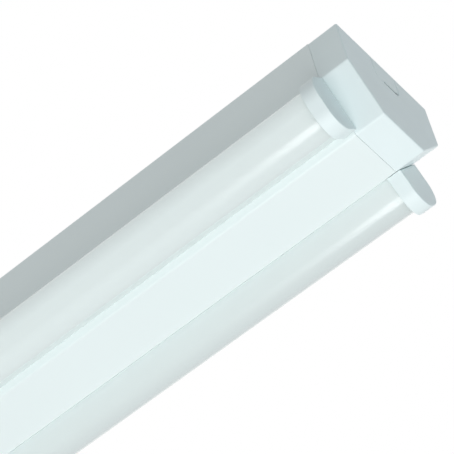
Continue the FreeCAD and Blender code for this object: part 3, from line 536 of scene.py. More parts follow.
def striped_insulation(name, first, second):
    finish = new_finish(name, first, lead_roughness)
    tree = finish.node_tree
    place = add(tree, "ShaderNodeTexCoord").outputs["Object"]
    across = add(tree, "ShaderNodeSeparateXYZ", {0: place}).outputs["Y"]
    half = add(tree, "ShaderNodeMapRange",
               {"Value": across, "From Min": -stripe_blur, "From Max": stripe_blur})
    shift_colour(finish, half.outputs["Result"], first, second)
    vary_gloss(finish, mottle(finish, lead_drift_scale), lead_gloss, lead_gloss)
    return finish


brown_lead = insulation("brown_insulation", (0.13, 0.045, 0.018))
blue_lead = insulation("blue_insulation", (0.02, 0.12, 0.45))
red_lead = insulation("red_insulation", (0.50, 0.015, 0.012))
black_lead = insulation("black_insulation", (0.018, 0.018, 0.020))
earth_stripe = striped_insulation("earth_insulation", (0.03, 0.26, 0.04), (0.80, 0.62, 0.02))
print("leads:", brown_lead.name, blue_lead.name, red_lead.name, black_lead.name, earth_stripe.name)

# %% [markdown]
# ## Dressing the solids
# Many solids already have the right shape: bent sheet, caps, leads, boards and grommets. They
# stay as they are and only change their material slot. The calls below say which finish each
# one wears; a solid that is remade later is hidden then, and its finish goes to the new piece.

# %% Finishes on the solids
side_signs = {"left": -1, "right": 1}
poles = ("live", "earth", "neutral")


def wear(finish, *names):
    for name in names:
        materials = nodes[name].data.materials
        materials.clear()
        materials.append(finish)


def both_sides(*stems):
    return [stem + "_" + side for stem in stems for side in side_signs]


wear(white_paint, "base_tray", "spine_cover")
wear(end_cap_moulding, "end_cap_near", "end_cap_far")
wear(white_moulding, *[name for name in nodes if name.startswith("diffuser_cap_")])
wear(opal, *both_sides("diffuser"))
wear(aluminium, *both_sides("led_carrier"))
wear(white_board, *both_sides("led_boards"))
wear(led_cup, *both_sides("led_chips"))
wear(connector_plastic, *both_sides("board_links", "feed_connector"))
wear(connector_plastic, "driver_input_terminal", "driver_output_terminal")
wear(zinc_steel, *both_sides("carrier_screws", "board_screws"))
wear(zinc_steel, "terminal_screws", "clip_rivets", "stud_nuts", "plug_bracket")
wear(spring_steel, "cover_clips")
wear(brass, "plug_pins", "earth_tag")
wear(copper_flash, "weld_studs")
wear(rubber, "cable_grommet", *both_sides("lead_grommet"))
wear(driver_plastic, "driver_case", "driver_lid")
wear(green_board, "driver_board")
wear(component_sleeve, "driver_components")
wear(terminal_plastic, "terminal_block", "gear_plug")
wear(button_plastic, *["terminal_button_" + pole for pole in poles])
wear(brown_lead, "live_lead")
wear(blue_lead, "neutral_lead")
wear(earth_stripe, "earth_lead")
wear(red_lead, "tube_lead_left_positive", "tube_lead_right_positive")
wear(black_lead, "tube_lead_left_negative", "tube_lead_right_negative")
print("dressed:", len(nodes), "solids")

# %% [markdown]
# ## Shapes from node trees
# Tubes, screws, rivets, nuts, studs and LEDs are made by Geometry Nodes. A tree is a recipe
# with named sizes: the same screw tree gives a large carrier screw or a small board screw.
# Each tree ends by turning its instances into real faces and giving them a finish.

# %% Begin and end of a tree
crease_angle = 0.6


def new_tree(name, inputs):
    """Empty shape tree with named inputs, and the sockets that hand them out."""
    tree = bpy.data.node_groups.new(name, "GeometryNodeTree")
    for label, kind in inputs.items():
        tree.interface.new_socket(label, in_out="INPUT", socket_type="NodeSocket" + kind)
    tree.interface.new_socket("Shape", in_out="OUTPUT", socket_type="NodeSocketGeometry")
    return tree, add(tree, "NodeGroupInput").outputs


def soft_shaded(tree, shape):
    """Smooth shading with a hard line wherever two faces meet at more than the crease angle."""
    smooth = add(tree, "GeometryNodeSetShadeSmooth", {"Geometry": shape}, domain="FACE")
    angle = add(tree, "GeometryNodeInputMeshEdgeAngle").outputs["Unsigned Angle"]
    sharp = add(tree, "FunctionNodeCompare", {"A": angle, "B": crease_angle},
                operation="GREATER_THAN")
    hard = add(tree, "GeometryNodeSetShadeSmooth",
               {"Geometry": smooth.outputs[0], "Selection": sharp.outputs[0], "Shade Smooth": False},
               domain="EDGE")
    return hard.outputs[0]


def close_tree(tree, shape, finish):
    """End of a tree: real faces instead of instances, one finish, and the way out."""
    real = add(tree, "GeometryNodeRealizeInstances", {"Geometry": shape}).outputs[0]
    dressed = add(tree, "GeometryNodeSetMaterial", {"Geometry": real, "Material": finish})
    add(tree, "NodeGroupOutput", {"Shape": dressed.outputs[0]})


print("tree helpers ready")

# %% [markdown]
# ## From a tree to a piece
# A tree works as a modifier on some start mesh. It could stay live, but other programs would
# not know it, so its result is kept as a plain mesh and nothing depends on the tree any longer.
# The finished piece then rides on a body of the frame and stands for the solids it replaces.

# %% Pieces
def started(name, mesh):
    """Object that holds a start mesh while its modifiers work."""
    source = bpy.data.objects.new(name + "_source", mesh)
    scene.collection.objects.link(source)
    return source


def frozen(name, source):
    """Plain mesh of an object with its modifiers worked in; the object itself goes."""
    seen = source.evaluated_get(bpy.context.evaluated_depsgraph_get())
    mesh = bpy.data.meshes.new_from_object(seen)
    mesh.name = name
    bpy.data.objects.remove(source)
    return mesh


def grown(name, tree, start, values):
    """Plain mesh that a tree makes from a start mesh, with its inputs set to these values."""
    source = started(name, start)
    modifier = source.modifiers.new("tree", "NODES")
    modifier.node_group = tree
    for item in tree.interface.items_tree:
        if item.in_out == "INPUT" and item.name in values:
            modifier[item.identifier] = values[item.name]
    return frozen(name, source)


def set_in_place(name, mesh, slot, body, *replaced):
    """Finished piece that rides on a body and hides the solids it stands for; slot is not used."""
    piece = bpy.data.objects.new(name, mesh)
    scene.collection.objects.link(piece)
    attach(piece, body)
    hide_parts(*replaced)
    print("piece:", name, len(mesh.polygons), "faces")
    return piece


print("piece helpers ready")

# %% [markdown]
# ## The two slopes
# Everything about a tube is drawn on a level slope first, with x along the fitting, y across
# the slope and z straight out of it, and is then turned onto its side of the body. The turn
# follows from the section of the body: how far its wall comes down, how wide its flat is.

# %% Slopes
body_half_width = 0.050
flat_half_width = 0.0215
wall_height = 0.040
body_depth = 0.0715
tube_shift = 0.0012
slope_angle = math.atan2(body_depth - wall_height, body_half_width - flat_half_width)
slope_y = (body_half_width + flat_half_width) / 2 + tube_shift * math.cos(slope_angle)
slope_z = -(body_depth + wall_height) / 2 + tube_shift * math.sin(slope_angle)


def slope_turn(side):
    """Matrix from a level slope to the slope of one side."""
    sign = side_signs[side]
    place = Matrix.Translation((0.0, sign * slope_y, slope_z))
    return place @ Matrix.Rotation(math.pi + sign * slope_angle, 4, "X")


def slope_way(side):
    """Direction straight out of one slope."""
    return slope_turn(side).to_3x3() @ Vector((0.0, 0.0, 1.0))


print("slope:", round(math.degrees(slope_angle), 2), "degrees from level")

# %% [markdown]
# ## The section of a tube
# A diffuser is pushed through a die, so its section is the same everywhere. It could be a
# curve with a bevel, but a die is a flat outline, so the section is drawn as one flat face,
# with two lips that hook under the carrier. Each shoulder gets many short steps, because a
# long glossy reflection shows every facet. The feet almost touch the sheet, as a wider gap
# would draw a black line along them.

# %% Tube section
tube_half_width = 0.0174
tube_height = 0.0267
tube_shoulder = 0.0135
tube_wall = 0.0016
tube_gap = 0.0001
tube_lip = 0.0015
mouth_half_width = 0.0123
shoulder_steps = 28
quarter_turn = math.pi / 2


def arch_line(half_width, low, high, radius, steps):
    """Points of an arch in the YZ plane, from its left foot over the crown to its right foot."""
    points = [(-half_width, low)]
    for sign in (-1, 1):
        for step in range(steps + 1):
            turn = quarter_turn * (step if sign < 0 else steps - step) / steps
            points.append((sign * (half_width - radius + radius * math.cos(turn)),
                           high - radius + radius * math.sin(turn)))
    points.append((half_width, low))
    return points


def tube_section(side, x):
    """Flat face with the outline of a tube's wall, standing across the fitting at x."""
    lip_top = tube_gap + tube_lip
    outer = arch_line(tube_half_width, tube_gap, tube_height, tube_shoulder, shoulder_steps)
    inner = arch_line(tube_half_width - tube_wall, lip_top, tube_height - tube_wall,
                      tube_shoulder - tube_wall, shoulder_steps)
    outline = outer + [(mouth_half_width, tube_gap), (mouth_half_width, lip_top)]
    outline += inner[::-1] + [(-mouth_half_width, lip_top), (-mouth_half_width, tube_gap)]
    turn = slope_turn(side)
    corners = [turn @ Vector((x, y, z)) for y, z in outline]
    mesh = bpy.data.meshes.new("tube_section_" + side)
    mesh.from_pydata(corners, [], [tuple(range(len(corners)))])
    return mesh


print("tube section:", len(tube_section("left", 0.0).vertices), "corners")

# %% [markdown]
# ## Drawing the tubes out
# The tree does what the extruder does: it draws the flat section out along X to the length of
# the tube. Extruding leaves the start open, so a turned copy of the section closes it, and
# merging joins the two.

# %% Tube tree and tubes
same_point = 1e-6


def extrusion_tree():
    """Draws a flat face out along X and closes the end it starts from with a turned copy."""
    tree, given = new_tree("drawn_section", {"Section": "Geometry", "Length": "Float",
                                             "Finish": "Material"})
    flat = add(tree, "GeometryNodeSetShadeSmooth",
               {"Geometry": given["Section"], "Shade Smooth": False}).outputs[0]
    along = add(tree, "ShaderNodeCombineXYZ", {"X": given["Length"]}).outputs[0]
    drawn = add(tree, "GeometryNodeExtrudeMesh",
                {"Mesh": flat, "Offset": along, "Offset Scale": 1.0, "Individual": False})
    back = add(tree, "GeometryNodeFlipFaces", {"Mesh": flat}).outputs[0]
    whole = add(tree, "GeometryNodeJoinGeometry", {0: drawn.outputs["Mesh"]})
    tree.links.new(back, whole.inputs[0])
    closed = add(tree, "GeometryNodeMergeByDistance",
                 {"Geometry": whole.outputs[0], "Distance": same_point})
    close_tree(tree, soft_shaded(tree, closed.outputs[0]), given["Finish"])
    return tree


drawn_section = extrusion_tree()
tubes = {}
for side in side_signs:
    low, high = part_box("diffuser_" + side)
    mesh = grown("opal_tube_" + side, drawn_section, tube_section(side, low.x),
                 {"Length": high.x - low.x, "Finish": opal})
    tubes[side] = set_in_place("opal_tube_" + side, mesh, "opal", "cover", "diffuser_" + side)

# %% [markdown]
# ## Where the small things sit
# The solids already hold every screw, nut and LED in its place, as plain rods and blocks. The
# places could be typed in again, but reading them is safer: each solid of a node is an island
# of joined faces, its middle lies on its axis, and a direction says which way its head looks.

# %% Seats
def islands(name):
    """Corners of each separate solid in a node."""
    copy = bmesh.new()
    copy.from_mesh(nodes[name].data)
    bmesh.ops.remove_doubles(copy, verts=copy.verts, dist=same_point)
    seen = set()
    found = []
    for first in copy.verts:
        if first in seen:
            continue
        seen.add(first)
        fresh = [first]
        corners = []
        while fresh:
            corner = fresh.pop()
            corners.append(corner.co.copy())
            near = [edge.other_vert(corner) for edge in corner.link_edges]
            near = [other for other in near if other not in seen]
            seen.update(near)
            fresh.extend(near)
        found.append(corners)
    copy.free()
    return found


def seats(name, way, head_height):
    """Points under the heads of a node's solids, each with the way that its head looks."""
    points = []
    ways = []
    for corners in islands(name):
        middle = sum(corners, Vector()) / len(corners)
        axis = way(middle)
        top = max((corner - middle).dot(axis) for corner in corners)
        points.append(middle + axis * (top - head_height))
        ways.extend(axis)
    mesh = bpy.data.meshes.new(name + "_seats")
    mesh.from_pydata(points, [], [])
    mesh.attributes.new("facing", "FLOAT_VECTOR", "POINT").data.foreach_set("vector", ways)
    return mesh


print("carrier screws on the left:", len(islands("carrier_screws_left")))

# %% [markdown]
# ## Moves that the trees share
# Every small piece is made once, standing on its own seat with z up, and is then copied to all
# seats. Its form comes from a few moves that repeat: lift a shape, pull a face out and narrow
# it, and put copies on points. As helpers they keep the trees short.

# %% Shape moves
def on_seats(tree, points, shape):
    """Copies of a shape on points, each turned until its z looks the way that the point faces."""
    facing = add(tree, "GeometryNodeInputNamedAttribute", {"Name": "facing"},
                 data_type="FLOAT_VECTOR")
    turn = add(tree, "FunctionNodeAlignRotationToVector", {"Vector": facing.outputs["Attribute"]},
               axis="Z", pivot_axis="X")
    copies = add(tree, "GeometryNodeInstanceOnPoints",
                 {"Points": points, "Instance": shape, "Rotation": turn.outputs[0]})
    return copies.outputs[0]


def raised(tree, shape, height):
    """Shape moved up along its own axis."""
    up = add(tree, "ShaderNodeCombineXYZ", {"Z": height}).outputs[0]
    return add(tree, "GeometryNodeTransform", {"Geometry": shape, "Translation": up}).outputs[0]


def half_of(tree, height):
    return math_node(tree, "DIVIDE", height, 2.0)


def pulled_face(tree, shape, face, height, share):
    """Pulls a face out by a height and scales it; hands back the shape and the moved face."""
    pulled = add(tree, "GeometryNodeExtrudeMesh",
                 {"Mesh": shape, "Selection": face, "Offset Scale": height, "Individual": False})
    top = pulled.outputs["Top"]
    sized = add(tree, "GeometryNodeScaleElements",
                {"Geometry": pulled.outputs["Mesh"], "Selection": top, "Scale": share})
    return sized.outputs[0], top


print("shape moves ready")

# %% [markdown]
# ## Screws and rivets
# A pan-head screw is headed from wire: a low dome, a cross pressed into it and a straight
# shank. A lathe-like spin would do, but pulling faces of a cylinder in or out gives the same
# outline with few faces. A blind rivet has the same parts with a flared tail and no cross, so
# one tree makes both.

# %% Fastener tree
head_corners = 20
head_side_share = 0.5
dome_steps = ((0.32, 0.86), (0.18, 0.66))
cross_length_share = 1.15
cross_width_share = 0.3
cross_depth_share = 0.9


def cross_cut(tree, shape, given):
    """Shape with two crossing slots cut into the top of its head."""
    long = math_node(tree, "MULTIPLY", given["Head radius"], cross_length_share)
    narrow = math_node(tree, "MULTIPLY", given["Head radius"], cross_width_share)
    deep = math_node(tree, "MULTIPLY", given["Head height"], cross_depth_share)
    for width, length in ((long, narrow), (narrow, long)):
        size = add(tree, "ShaderNodeCombineXYZ", {"X": width, "Y": length, "Z": deep}).outputs[0]
        bar = add(tree, "GeometryNodeMeshCube", {"Size": size}).outputs["Mesh"]
        bar = raised(tree, bar, given["Head height"])
        cut = add(tree, "GeometryNodeMeshBoolean", {"Mesh 1": shape, "Mesh 2": bar},
                  operation="DIFFERENCE")
        shape = cut.outputs["Mesh"]
    return shape


def fastener_tree():
    """Round domed head on a shank with a tail, with a cross in the head where it is asked for."""
    tree, given = new_tree("headed_fastener", {
        "Seats": "Geometry", "Head radius": "Float", "Head height": "Float",
        "Shank radius": "Float", "Shank length": "Float", "Tail radius": "Float",
        "Tail height": "Float", "Cross": "Bool", "Finish": "Material"})
    side = math_node(tree, "MULTIPLY", given["Head height"], head_side_share)
    head = add(tree, "GeometryNodeMeshCylinder",
               {"Vertices": head_corners, "Radius": given["Head radius"], "Depth": side})
    shape = raised(tree, head.outputs["Mesh"], half_of(tree, side))
    face = head.outputs["Top"]
    for height_share, width_share in dome_steps:
        rise = math_node(tree, "MULTIPLY", given["Head height"], height_share)
        shape, face = pulled_face(tree, shape, face, rise, width_share)
    neck = math_node(tree, "DIVIDE", given["Shank radius"], given["Head radius"])
    tail = math_node(tree, "DIVIDE", given["Tail radius"], given["Shank radius"])
    face = head.outputs["Bottom"]
    for height, share in ((0.0, neck), (given["Shank length"], 1.0), (0.0, tail),
                          (given["Tail height"], 1.0)):
        shape, face = pulled_face(tree, shape, face, height, share)
    crossed = cross_cut(tree, shape, given)
    chosen = add(tree, "GeometryNodeSwitch",
                 {"Switch": given["Cross"], "False": shape, "True": crossed},
                 input_type="GEOMETRY").outputs[0]
    close_tree(tree, on_seats(tree, given["Seats"], soft_shaded(tree, chosen)), given["Finish"])
    return tree


headed_fastener = fastener_tree()
print("tree:", headed_fastener.name, len(headed_fastener.nodes), "nodes")

# %% [markdown]
# ## Four kinds of fastener
# Screws hold the carriers on the slopes, the boards on the carriers and the terminal on the
# tray, and rivets hold the spring clips. One call each is enough: it names the node, the sizes
# and the way that the heads look. Carrier screws go in from inside the body, so their heads
# look into it.

# %% Screws and rivets
# Radius and length of the head, the shank and the tail
slope_screw = ((0.0036, 0.0024), (0.0019, 0.0031), (0.0013, 0.001))
board_screw = ((0.0025, 0.0016), (0.0014, 0.0028), (0.0010, 0.0008))
block_screw = ((0.0028, 0.0018), (0.0015, 0.0039), (0.0011, 0.001))
clip_rivet = ((0.0030, 0.0012), (0.0016, 0.0018), (0.0024, 0.0005))


def fasteners(name, node, body, way, sizes, cross=True):
    """One piece with all the fasteners of a node."""
    head, shank, tail = sizes
    mesh = grown(name, headed_fastener, seats(node, way, head[1]), {
        "Head radius": head[0], "Head height": head[1], "Shank radius": shank[0],
        "Shank length": shank[1], "Tail radius": tail[0], "Tail height": tail[1], "Cross": cross,
        "Finish": zinc_steel})
    set_in_place(name, mesh, "steel", body, node)


def always(direction):
    """Way that is the same for every solid of a node."""
    return lambda middle: direction


def to_the_middle(middle):
    return Vector((0.0, -math.copysign(1.0, middle.y), 0.0))


downwards = always(Vector((0.0, 0.0, -1.0)))
for side in side_signs:
    out = slope_way(side)
    fasteners("slope_screws_" + side, "carrier_screws_" + side, "cover", always(-out), slope_screw)
    fasteners("led_board_screws_" + side, "board_screws_" + side, "cover", always(out), board_screw)
fasteners("block_screws", "terminal_screws", "base", downwards, block_screw)
fasteners("blind_rivets", "clip_rivets", "base", to_the_middle, clip_rivet, cross=False)

# %% [markdown]
# ## Nuts
# Weld studs stand on the inside of the body, and nuts hold the driver and the earth tag on
# them. A nut is a hexagon bar whose corners are turned off on a lathe, so the tree cuts it
# just so: the part that a hexagon and a turned blank have in common, less the bore.

# %% Nuts
hexagon_sides = 6
blank_corners = 32
chamfer_share = 0.16
chamfer_width_share = 0.87
nut_across_flats = 0.007
nut_height = 0.0032
nut_bore = 0.0021


def nut_tree():
    """Hexagon nut with turned corners and a bore."""
    tree, given = new_tree("hexagon_nut", {"Seats": "Geometry", "Across flats": "Float",
                                           "Height": "Float", "Bore": "Float",
                                           "Finish": "Material"})
    # From its middle to a corner, a hexagon measures its width across flats over the root of three
    corner = math_node(tree, "DIVIDE", given["Across flats"], math.sqrt(3.0))
    hexagon = add(tree, "GeometryNodeMeshCylinder",
                  {"Vertices": hexagon_sides, "Radius": corner, "Depth": given["Height"]})
    chamfer = math_node(tree, "MULTIPLY", given["Height"], chamfer_share)
    straight = math_node(tree, "MULTIPLY", given["Height"], 1.0 - 2.0 * chamfer_share)
    blank = add(tree, "GeometryNodeMeshCylinder",
                {"Vertices": blank_corners, "Radius": corner, "Depth": straight})
    shape = blank.outputs["Mesh"]
    for face in ("Top", "Bottom"):
        shape = pulled_face(tree, shape, blank.outputs[face], chamfer, chamfer_width_share)[0]
    turned = add(tree, "GeometryNodeMeshBoolean", {"Mesh 2": shape}, operation="INTERSECT")
    tree.links.new(hexagon.outputs["Mesh"], turned.inputs["Mesh 2"])
    drill = add(tree, "GeometryNodeMeshCylinder",
                {"Vertices": head_corners, "Radius": given["Bore"], "Depth": corner})
    bored = add(tree, "GeometryNodeMeshBoolean",
                {"Mesh 1": turned.outputs["Mesh"], "Mesh 2": drill.outputs["Mesh"]},
                operation="DIFFERENCE").outputs["Mesh"]
    seated = soft_shaded(tree, raised(tree, bored, half_of(tree, given["Height"])))
    close_tree(tree, on_seats(tree, given["Seats"], seated), given["Finish"])
    return tree


upwards = always(Vector((0.0, 0.0, 1.0)))
nut_mesh = grown("hexagon_nuts", nut_tree(), seats("stud_nuts", upwards, nut_height),
                 {"Across flats": nut_across_flats, "Height": nut_height, "Bore": nut_bore,
                  "Finish": zinc_steel})
set_in_place("hexagon_nuts", nut_mesh, "steel", "cover", "stud_nuts")

# %% [markdown]
# ## Studs
# A weld stud is a short threaded rod. A thread could be a bump in its finish, but its edge
# shows against the light, so it is made: a small diamond swept along a spiral on the core. The
# first and the last turn stay plain, as on a real stud.

# %% Studs
stud_radius = 0.002
stud_length = 0.008
stud_pitch = 0.0007
ridge_share = 0.36
ridge_corners = 4
plain_turns = 2.0


def stud_tree():
    """Plain core with a thread wound round it."""
    tree, given = new_tree("threaded_stud", {"Seats": "Geometry", "Radius": "Float",
                                             "Length": "Float", "Pitch": "Float",
                                             "Finish": "Material"})
    ridge = math_node(tree, "MULTIPLY", given["Pitch"], ridge_share)
    core_radius = math_node(tree, "SUBTRACT", given["Radius"], ridge)
    core = add(tree, "GeometryNodeMeshCylinder",
               {"Vertices": head_corners, "Radius": core_radius, "Depth": given["Length"]})
    core = raised(tree, core.outputs["Mesh"], half_of(tree, given["Length"]))
    margin = math_node(tree, "MULTIPLY", given["Pitch"], plain_turns)
    wound = math_node(tree, "SUBTRACT", given["Length"], margin)
    turns = math_node(tree, "DIVIDE", wound, given["Pitch"])
    spiral = add(tree, "GeometryNodeCurveSpiral",
                 {"Resolution": head_corners, "Rotations": turns, "Start Radius": core_radius,
                  "End Radius": core_radius, "Height": wound})
    level = add(tree, "GeometryNodeSetCurveNormal", {"Curve": spiral.outputs[0]}, mode="Z_UP")
    diamond = add(tree, "GeometryNodeCurvePrimitiveCircle",
                  {"Resolution": ridge_corners, "Radius": ridge})
    thread = add(tree, "GeometryNodeCurveToMesh",
                 {"Curve": level.outputs[0], "Profile Curve": diamond.outputs[0], "Fill Caps": True})
    both = add(tree, "GeometryNodeJoinGeometry", {0: core})
    tree.links.new(raised(tree, thread.outputs[0], given["Pitch"]), both.inputs[0])
    shaded = soft_shaded(tree, both.outputs[0])
    close_tree(tree, on_seats(tree, given["Seats"], shaded), given["Finish"])
    return tree


stud_mesh = grown("threaded_studs", stud_tree(), seats("weld_studs", upwards, stud_length),
                  {"Radius": stud_radius, "Length": stud_length, "Pitch": stud_pitch,
                   "Finish": copper_flash})
set_in_place("threaded_studs", stud_mesh, "copper_plate", "cover", "weld_studs")

# %% [markdown]
# ## LEDs
# Each board carries a row of LED packages: a white cup with a sunk window of yellow phosphor.
# There are a hundred and sixty of them, so one package has only fourteen faces. The tree marks
# the window with an attribute before it makes the copies, and gives that face its own finish
# after they are real.

# %% LED packages
package_size = (0.0035, 0.0028, 0.0008)
window_share = 0.78
window_floor_share = 0.9
window_depth = 0.00012
nearly_up = 0.9


def led_tree():
    """White cup with a sunk window of another finish."""
    tree, given = new_tree("led_package", {"Seats": "Geometry", "Package": "Vector",
                                           "Depth": "Float", "Cup": "Material",
                                           "Phosphor": "Material"})
    cup = add(tree, "GeometryNodeMeshCube", {"Size": given["Package"]}).outputs["Mesh"]
    height = add(tree, "ShaderNodeSeparateXYZ", {0: given["Package"]}).outputs["Z"]
    shape = raised(tree, cup, half_of(tree, height))
    normal = add(tree, "GeometryNodeInputNormal").outputs[0]
    upward = add(tree, "ShaderNodeSeparateXYZ", {0: normal}).outputs["Z"]
    top = add(tree, "FunctionNodeCompare", {"A": upward, "B": nearly_up}, operation="GREATER_THAN")
    shape, rim = pulled_face(tree, shape, top.outputs[0], 0.0, window_share)
    sunk = math_node(tree, "MULTIPLY", given["Depth"], -1.0)
    shape, window = pulled_face(tree, shape, rim, sunk, window_floor_share)
    marked = add(tree, "GeometryNodeStoreNamedAttribute",
                 {"Geometry": shape, "Name": "window", "Value": window},
                 data_type="BOOLEAN", domain="FACE")
    copies = on_seats(tree, given["Seats"], marked.outputs[0])
    real = add(tree, "GeometryNodeRealizeInstances", {"Geometry": copies}).outputs[0]
    white = add(tree, "GeometryNodeSetMaterial", {"Geometry": real, "Material": given["Cup"]})
    is_window = add(tree, "GeometryNodeInputNamedAttribute", {"Name": "window"},
                    data_type="BOOLEAN")
    dressed = add(tree, "GeometryNodeSetMaterial",
                  {"Geometry": white.outputs[0], "Selection": is_window.outputs["Attribute"],
                   "Material": given["Phosphor"]})
    add(tree, "NodeGroupOutput", {"Shape": dressed.outputs[0]})
    return tree


led_package = led_tree()
for side in side_signs:
    places = seats("led_chips_" + side, always(slope_way(side)), package_size[2])
    mesh = grown("leds_" + side, led_package, places,
                 {"Package": package_size, "Depth": window_depth, "Cup": led_cup,
                  "Phosphor": phosphor})
    set_in_place("leds_" + side, mesh, "led", "cover", "led_chips_" + side)

# %% [markdown]
# ## Soft-edged mouldings
# No moulded part leaves its mould with a knife edge, and a thin rounded edge is what catches
# the light. The blocks and cases are copies of their solids: the loose triangles are merged,
# flat faces are joined up again, and a Bevel modifier rounds every hard edge by a few tenths
# of a millimetre.

# %% Softening
flat_angle = math.radians(1.0)
hard_angle = math.radians(40.0)
edge_steps = 2


def softened(name, node, edge):
    """Copy of a solid's mesh with its hard edges rounded."""
    copy = bmesh.new()
    copy.from_mesh(nodes[node].data)
    bmesh.ops.remove_doubles(copy, verts=copy.verts, dist=same_point)
    bmesh.ops.dissolve_limit(copy, angle_limit=flat_angle, verts=copy.verts, edges=copy.edges)
    sharp = bpy.data.meshes.new(name + "_sharp")
    copy.to_mesh(sharp)
    copy.free()
    source = started(name, sharp)
    bevel = source.modifiers.new("edges", "BEVEL")
    bevel.width = edge
    bevel.segments = edge_steps
    bevel.limit_method = "ANGLE"
    bevel.angle_limit = hard_angle
    soft = frozen(name, source)
    soft.polygons.foreach_set("use_smooth", [True] * len(soft.polygons))
    soft.set_sharp_from_angle(angle=hard_angle)
    return soft


print("edges harder than", round(math.degrees(hard_angle)), "degrees are rounded")

# %% [markdown]
# ## Blocks, cases and buttons
# Terminals, plug, driver and buttons wear the plastic of their solid. Large cases have a wider
# edge than small connectors, as their moulds have, and each button rides on a body of its own,
# so that it can be pressed.

# %% Mouldings
block_edge = 0.0004
case_edge = 0.0006
small_edge = 0.0003


def soft_moulding(name, node, edge, slot, body, finish):
    mesh = softened(name, node, edge)
    mesh.materials.clear()
    mesh.materials.append(finish)
    set_in_place(name, mesh, slot, body, node)


def soft_connector(name, node):
    soft_moulding(name, node, small_edge, "connector", "cover", connector_plastic)


soft_moulding("mains_block", "terminal_block", block_edge, "terminal", "base", terminal_plastic)
soft_moulding("drop_plug", "gear_plug", block_edge, "terminal", "cover", terminal_plastic)
for name, node in (("driver_box", "driver_case"), ("driver_cover", "driver_lid")):
    soft_moulding(name, node, case_edge, "driver_plastic", "cover", driver_plastic)
for end in ("input", "output"):
    soft_connector("driver_" + end + "_block", "driver_" + end + "_terminal")
for pole in poles:
    soft_moulding("release_" + pole, "terminal_button_" + pole, small_edge, "button",
                  "button_" + pole, button_plastic)
for side in side_signs:
    soft_connector("link_blocks_" + side, "board_links_" + side)
    soft_connector("feed_block_" + side, "feed_connector_" + side)

# %% [markdown]
# ## Light on the body
# One broad soft lamp below lights the whole fitting, and another, above and behind, keeps the
# sides that face away from going grey. Small lamps would throw hard shadows of the tubes on
# the white sheet, so both are wide rectangles. The tubes get light of their own in the next
# step, and light linking leaves them out here: a lamp's list of receivers says which pieces it
# lights, or which it passes by.

# %% Key and fill lamps
# Place, size and power of each lamp
body_lamps = {"key": ((0.68, -0.31, -2.06), (1.21, 1.70), 27.0),
              "fill": ((-0.9, 1.3, 1.9), (1.6, 1.6), 30.0)}


def area_lamp(name, size, power):
    """Rectangular lamp that lights the fitting and is unseen itself."""
    data = bpy.data.lights.new(name, "AREA")
    data.shape = "RECTANGLE"
    data.size, data.size_y = size
    data.energy = power
    lamp = bpy.data.objects.new(name, data)
    scene.collection.objects.link(lamp)
    lamp.visible_camera = False
    return lamp


def soft_lamp(name, place, size, power):
    """Lamp at a place, turned to the fitting's middle line."""
    lamp = area_lamp(name, size, power)
    lamp.location = place
    lamp.rotation_mode = "QUATERNION"
    lamp.rotation_quaternion = Vector((0.0, -place[1], -place[2])).to_track_quat("-Z", "Y")
    return lamp


def group_of(name, pieces):
    group = bpy.data.collections.new(name)
    for piece in pieces:
        group.objects.link(piece)
    return group


def linked(lamp, pieces, state):
    """Makes a lamp light only these pieces, or all but these."""
    group = group_of(lamp.name + "_receivers", pieces)
    lamp.light_linking.receiver_collection = group
    for entry in group.collection_objects:
        entry.light_linking.link_state = state


for name, lamp_values in body_lamps.items():
    linked(soft_lamp(name, *lamp_values), tubes.values(), "EXCLUDE")
print("body lamps:", list(body_lamps))

# %% [markdown]
# ## Light in the opal
# Light that enters an opal wall spreads inside it, so a tube looks lit from all sides at once,
# and its gloss mirrors the broad lamp as a long bright streak. Both come from lamps that only
# the tubes receive: very wide ones round them, which show no reflection and are shaded by the
# tubes alone, and one streak lamp for each tube, which shows as a reflection alone.

# %% Tube lamps
scatter_x = 0.9
scatter_distance = 1.5
scatter_size = (6.0, 6.0)
# Name, angle round the fitting in degrees, power and tubes of each wide lamp
scatter_lamps = (("wrap", -118.0, 54.0, ("left", "right")), ("lift", -45.0, 18.0, ("left",)),
                 ("side", 140.0, 8.0, ("left",)), ("far_side", 35.0, 18.0, ("right",)))
streak_x = 0.545
streak_z = -2.06
streak_size = (1.21, 1.6)
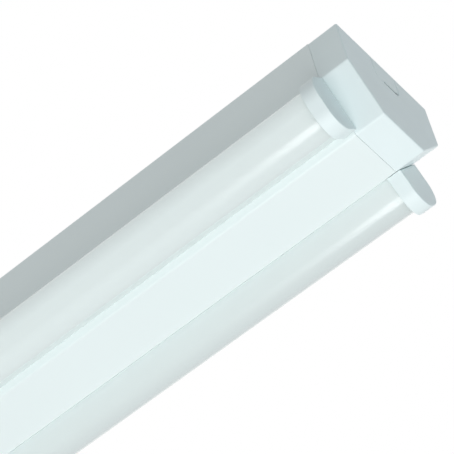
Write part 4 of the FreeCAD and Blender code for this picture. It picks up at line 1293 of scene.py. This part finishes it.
# Place across the fitting and power of each streak lamp
streaks = {"left": (-0.74, 38.0), "right": (-0.75, 46.0)}


def scattered(name, degrees, power, pieces):
    """Very wide lamp in place of the light that these tubes scatter inside their wall."""
    angle = math.radians(degrees)
    place = (scatter_x, scatter_distance * math.cos(angle), scatter_distance * math.sin(angle))
    lamp = soft_lamp(name, place, scatter_size, power)
    linked(lamp, pieces, "INCLUDE")
    lamp.light_linking.blocker_collection = group_of(name + "_blockers", tubes.values())
    lamp.visible_glossy = False


for name, degrees, power, lit_sides in scatter_lamps:
    scattered(name, degrees, power, [tubes[side] for side in lit_sides])
for side, (across, power) in streaks.items():
    streak = soft_lamp("streak_" + side, (streak_x, across, streak_z), streak_size, power)
    linked(streak, [tubes[side]], "INCLUDE")
    streak.visible_diffuse = False
print("tube lamps:", [lamp[0] for lamp in scatter_lamps], "streaks:", list(streaks))

# %% [markdown]
# ## Glow at the feet of the tubes
# The opal wall also throws light on the painted sheet beside it, which leaves a bright seam
# along each foot. It could come from a translucent tube, but only after many bounces, so a
# lamp a few millimetres wide lies along each foot and lights the body alone.

# %% Foot glow
glow_width = 0.004
glow_rises = {"flat": 0.0042, "wall": 0.014}
glow_gap = 0.0008
glow_tilt = math.radians(30.0)
glow_powers = {("left", "flat"): 0.001, ("left", "wall"): 0.014,
               ("right", "flat"): 0.012, ("right", "wall"): 0.02}


def foot_glow(side, edge, power):
    """Thin lamp along one foot of a tube, turned away from it and down at the body."""
    low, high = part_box("diffuser_" + side)
    lamp = area_lamp("glow_" + side + "_" + edge, (high.x - low.x, glow_width), power)
    sign = side_signs[side] * (1 if edge == "flat" else -1)
    foot = Matrix.Translation((0.0, sign * (tube_half_width + glow_gap), glow_rises[edge]))
    lamp.matrix_world = slope_turn(side) @ foot @ Matrix.Rotation(sign * glow_tilt, 4, "X")
    lamp.visible_glossy = False
    linked(lamp, [nodes["spine_cover"]], "INCLUDE")


for (side, edge), power in glow_powers.items():
    foot_glow(side, edge, power)
print("foot glow:", glow_powers)
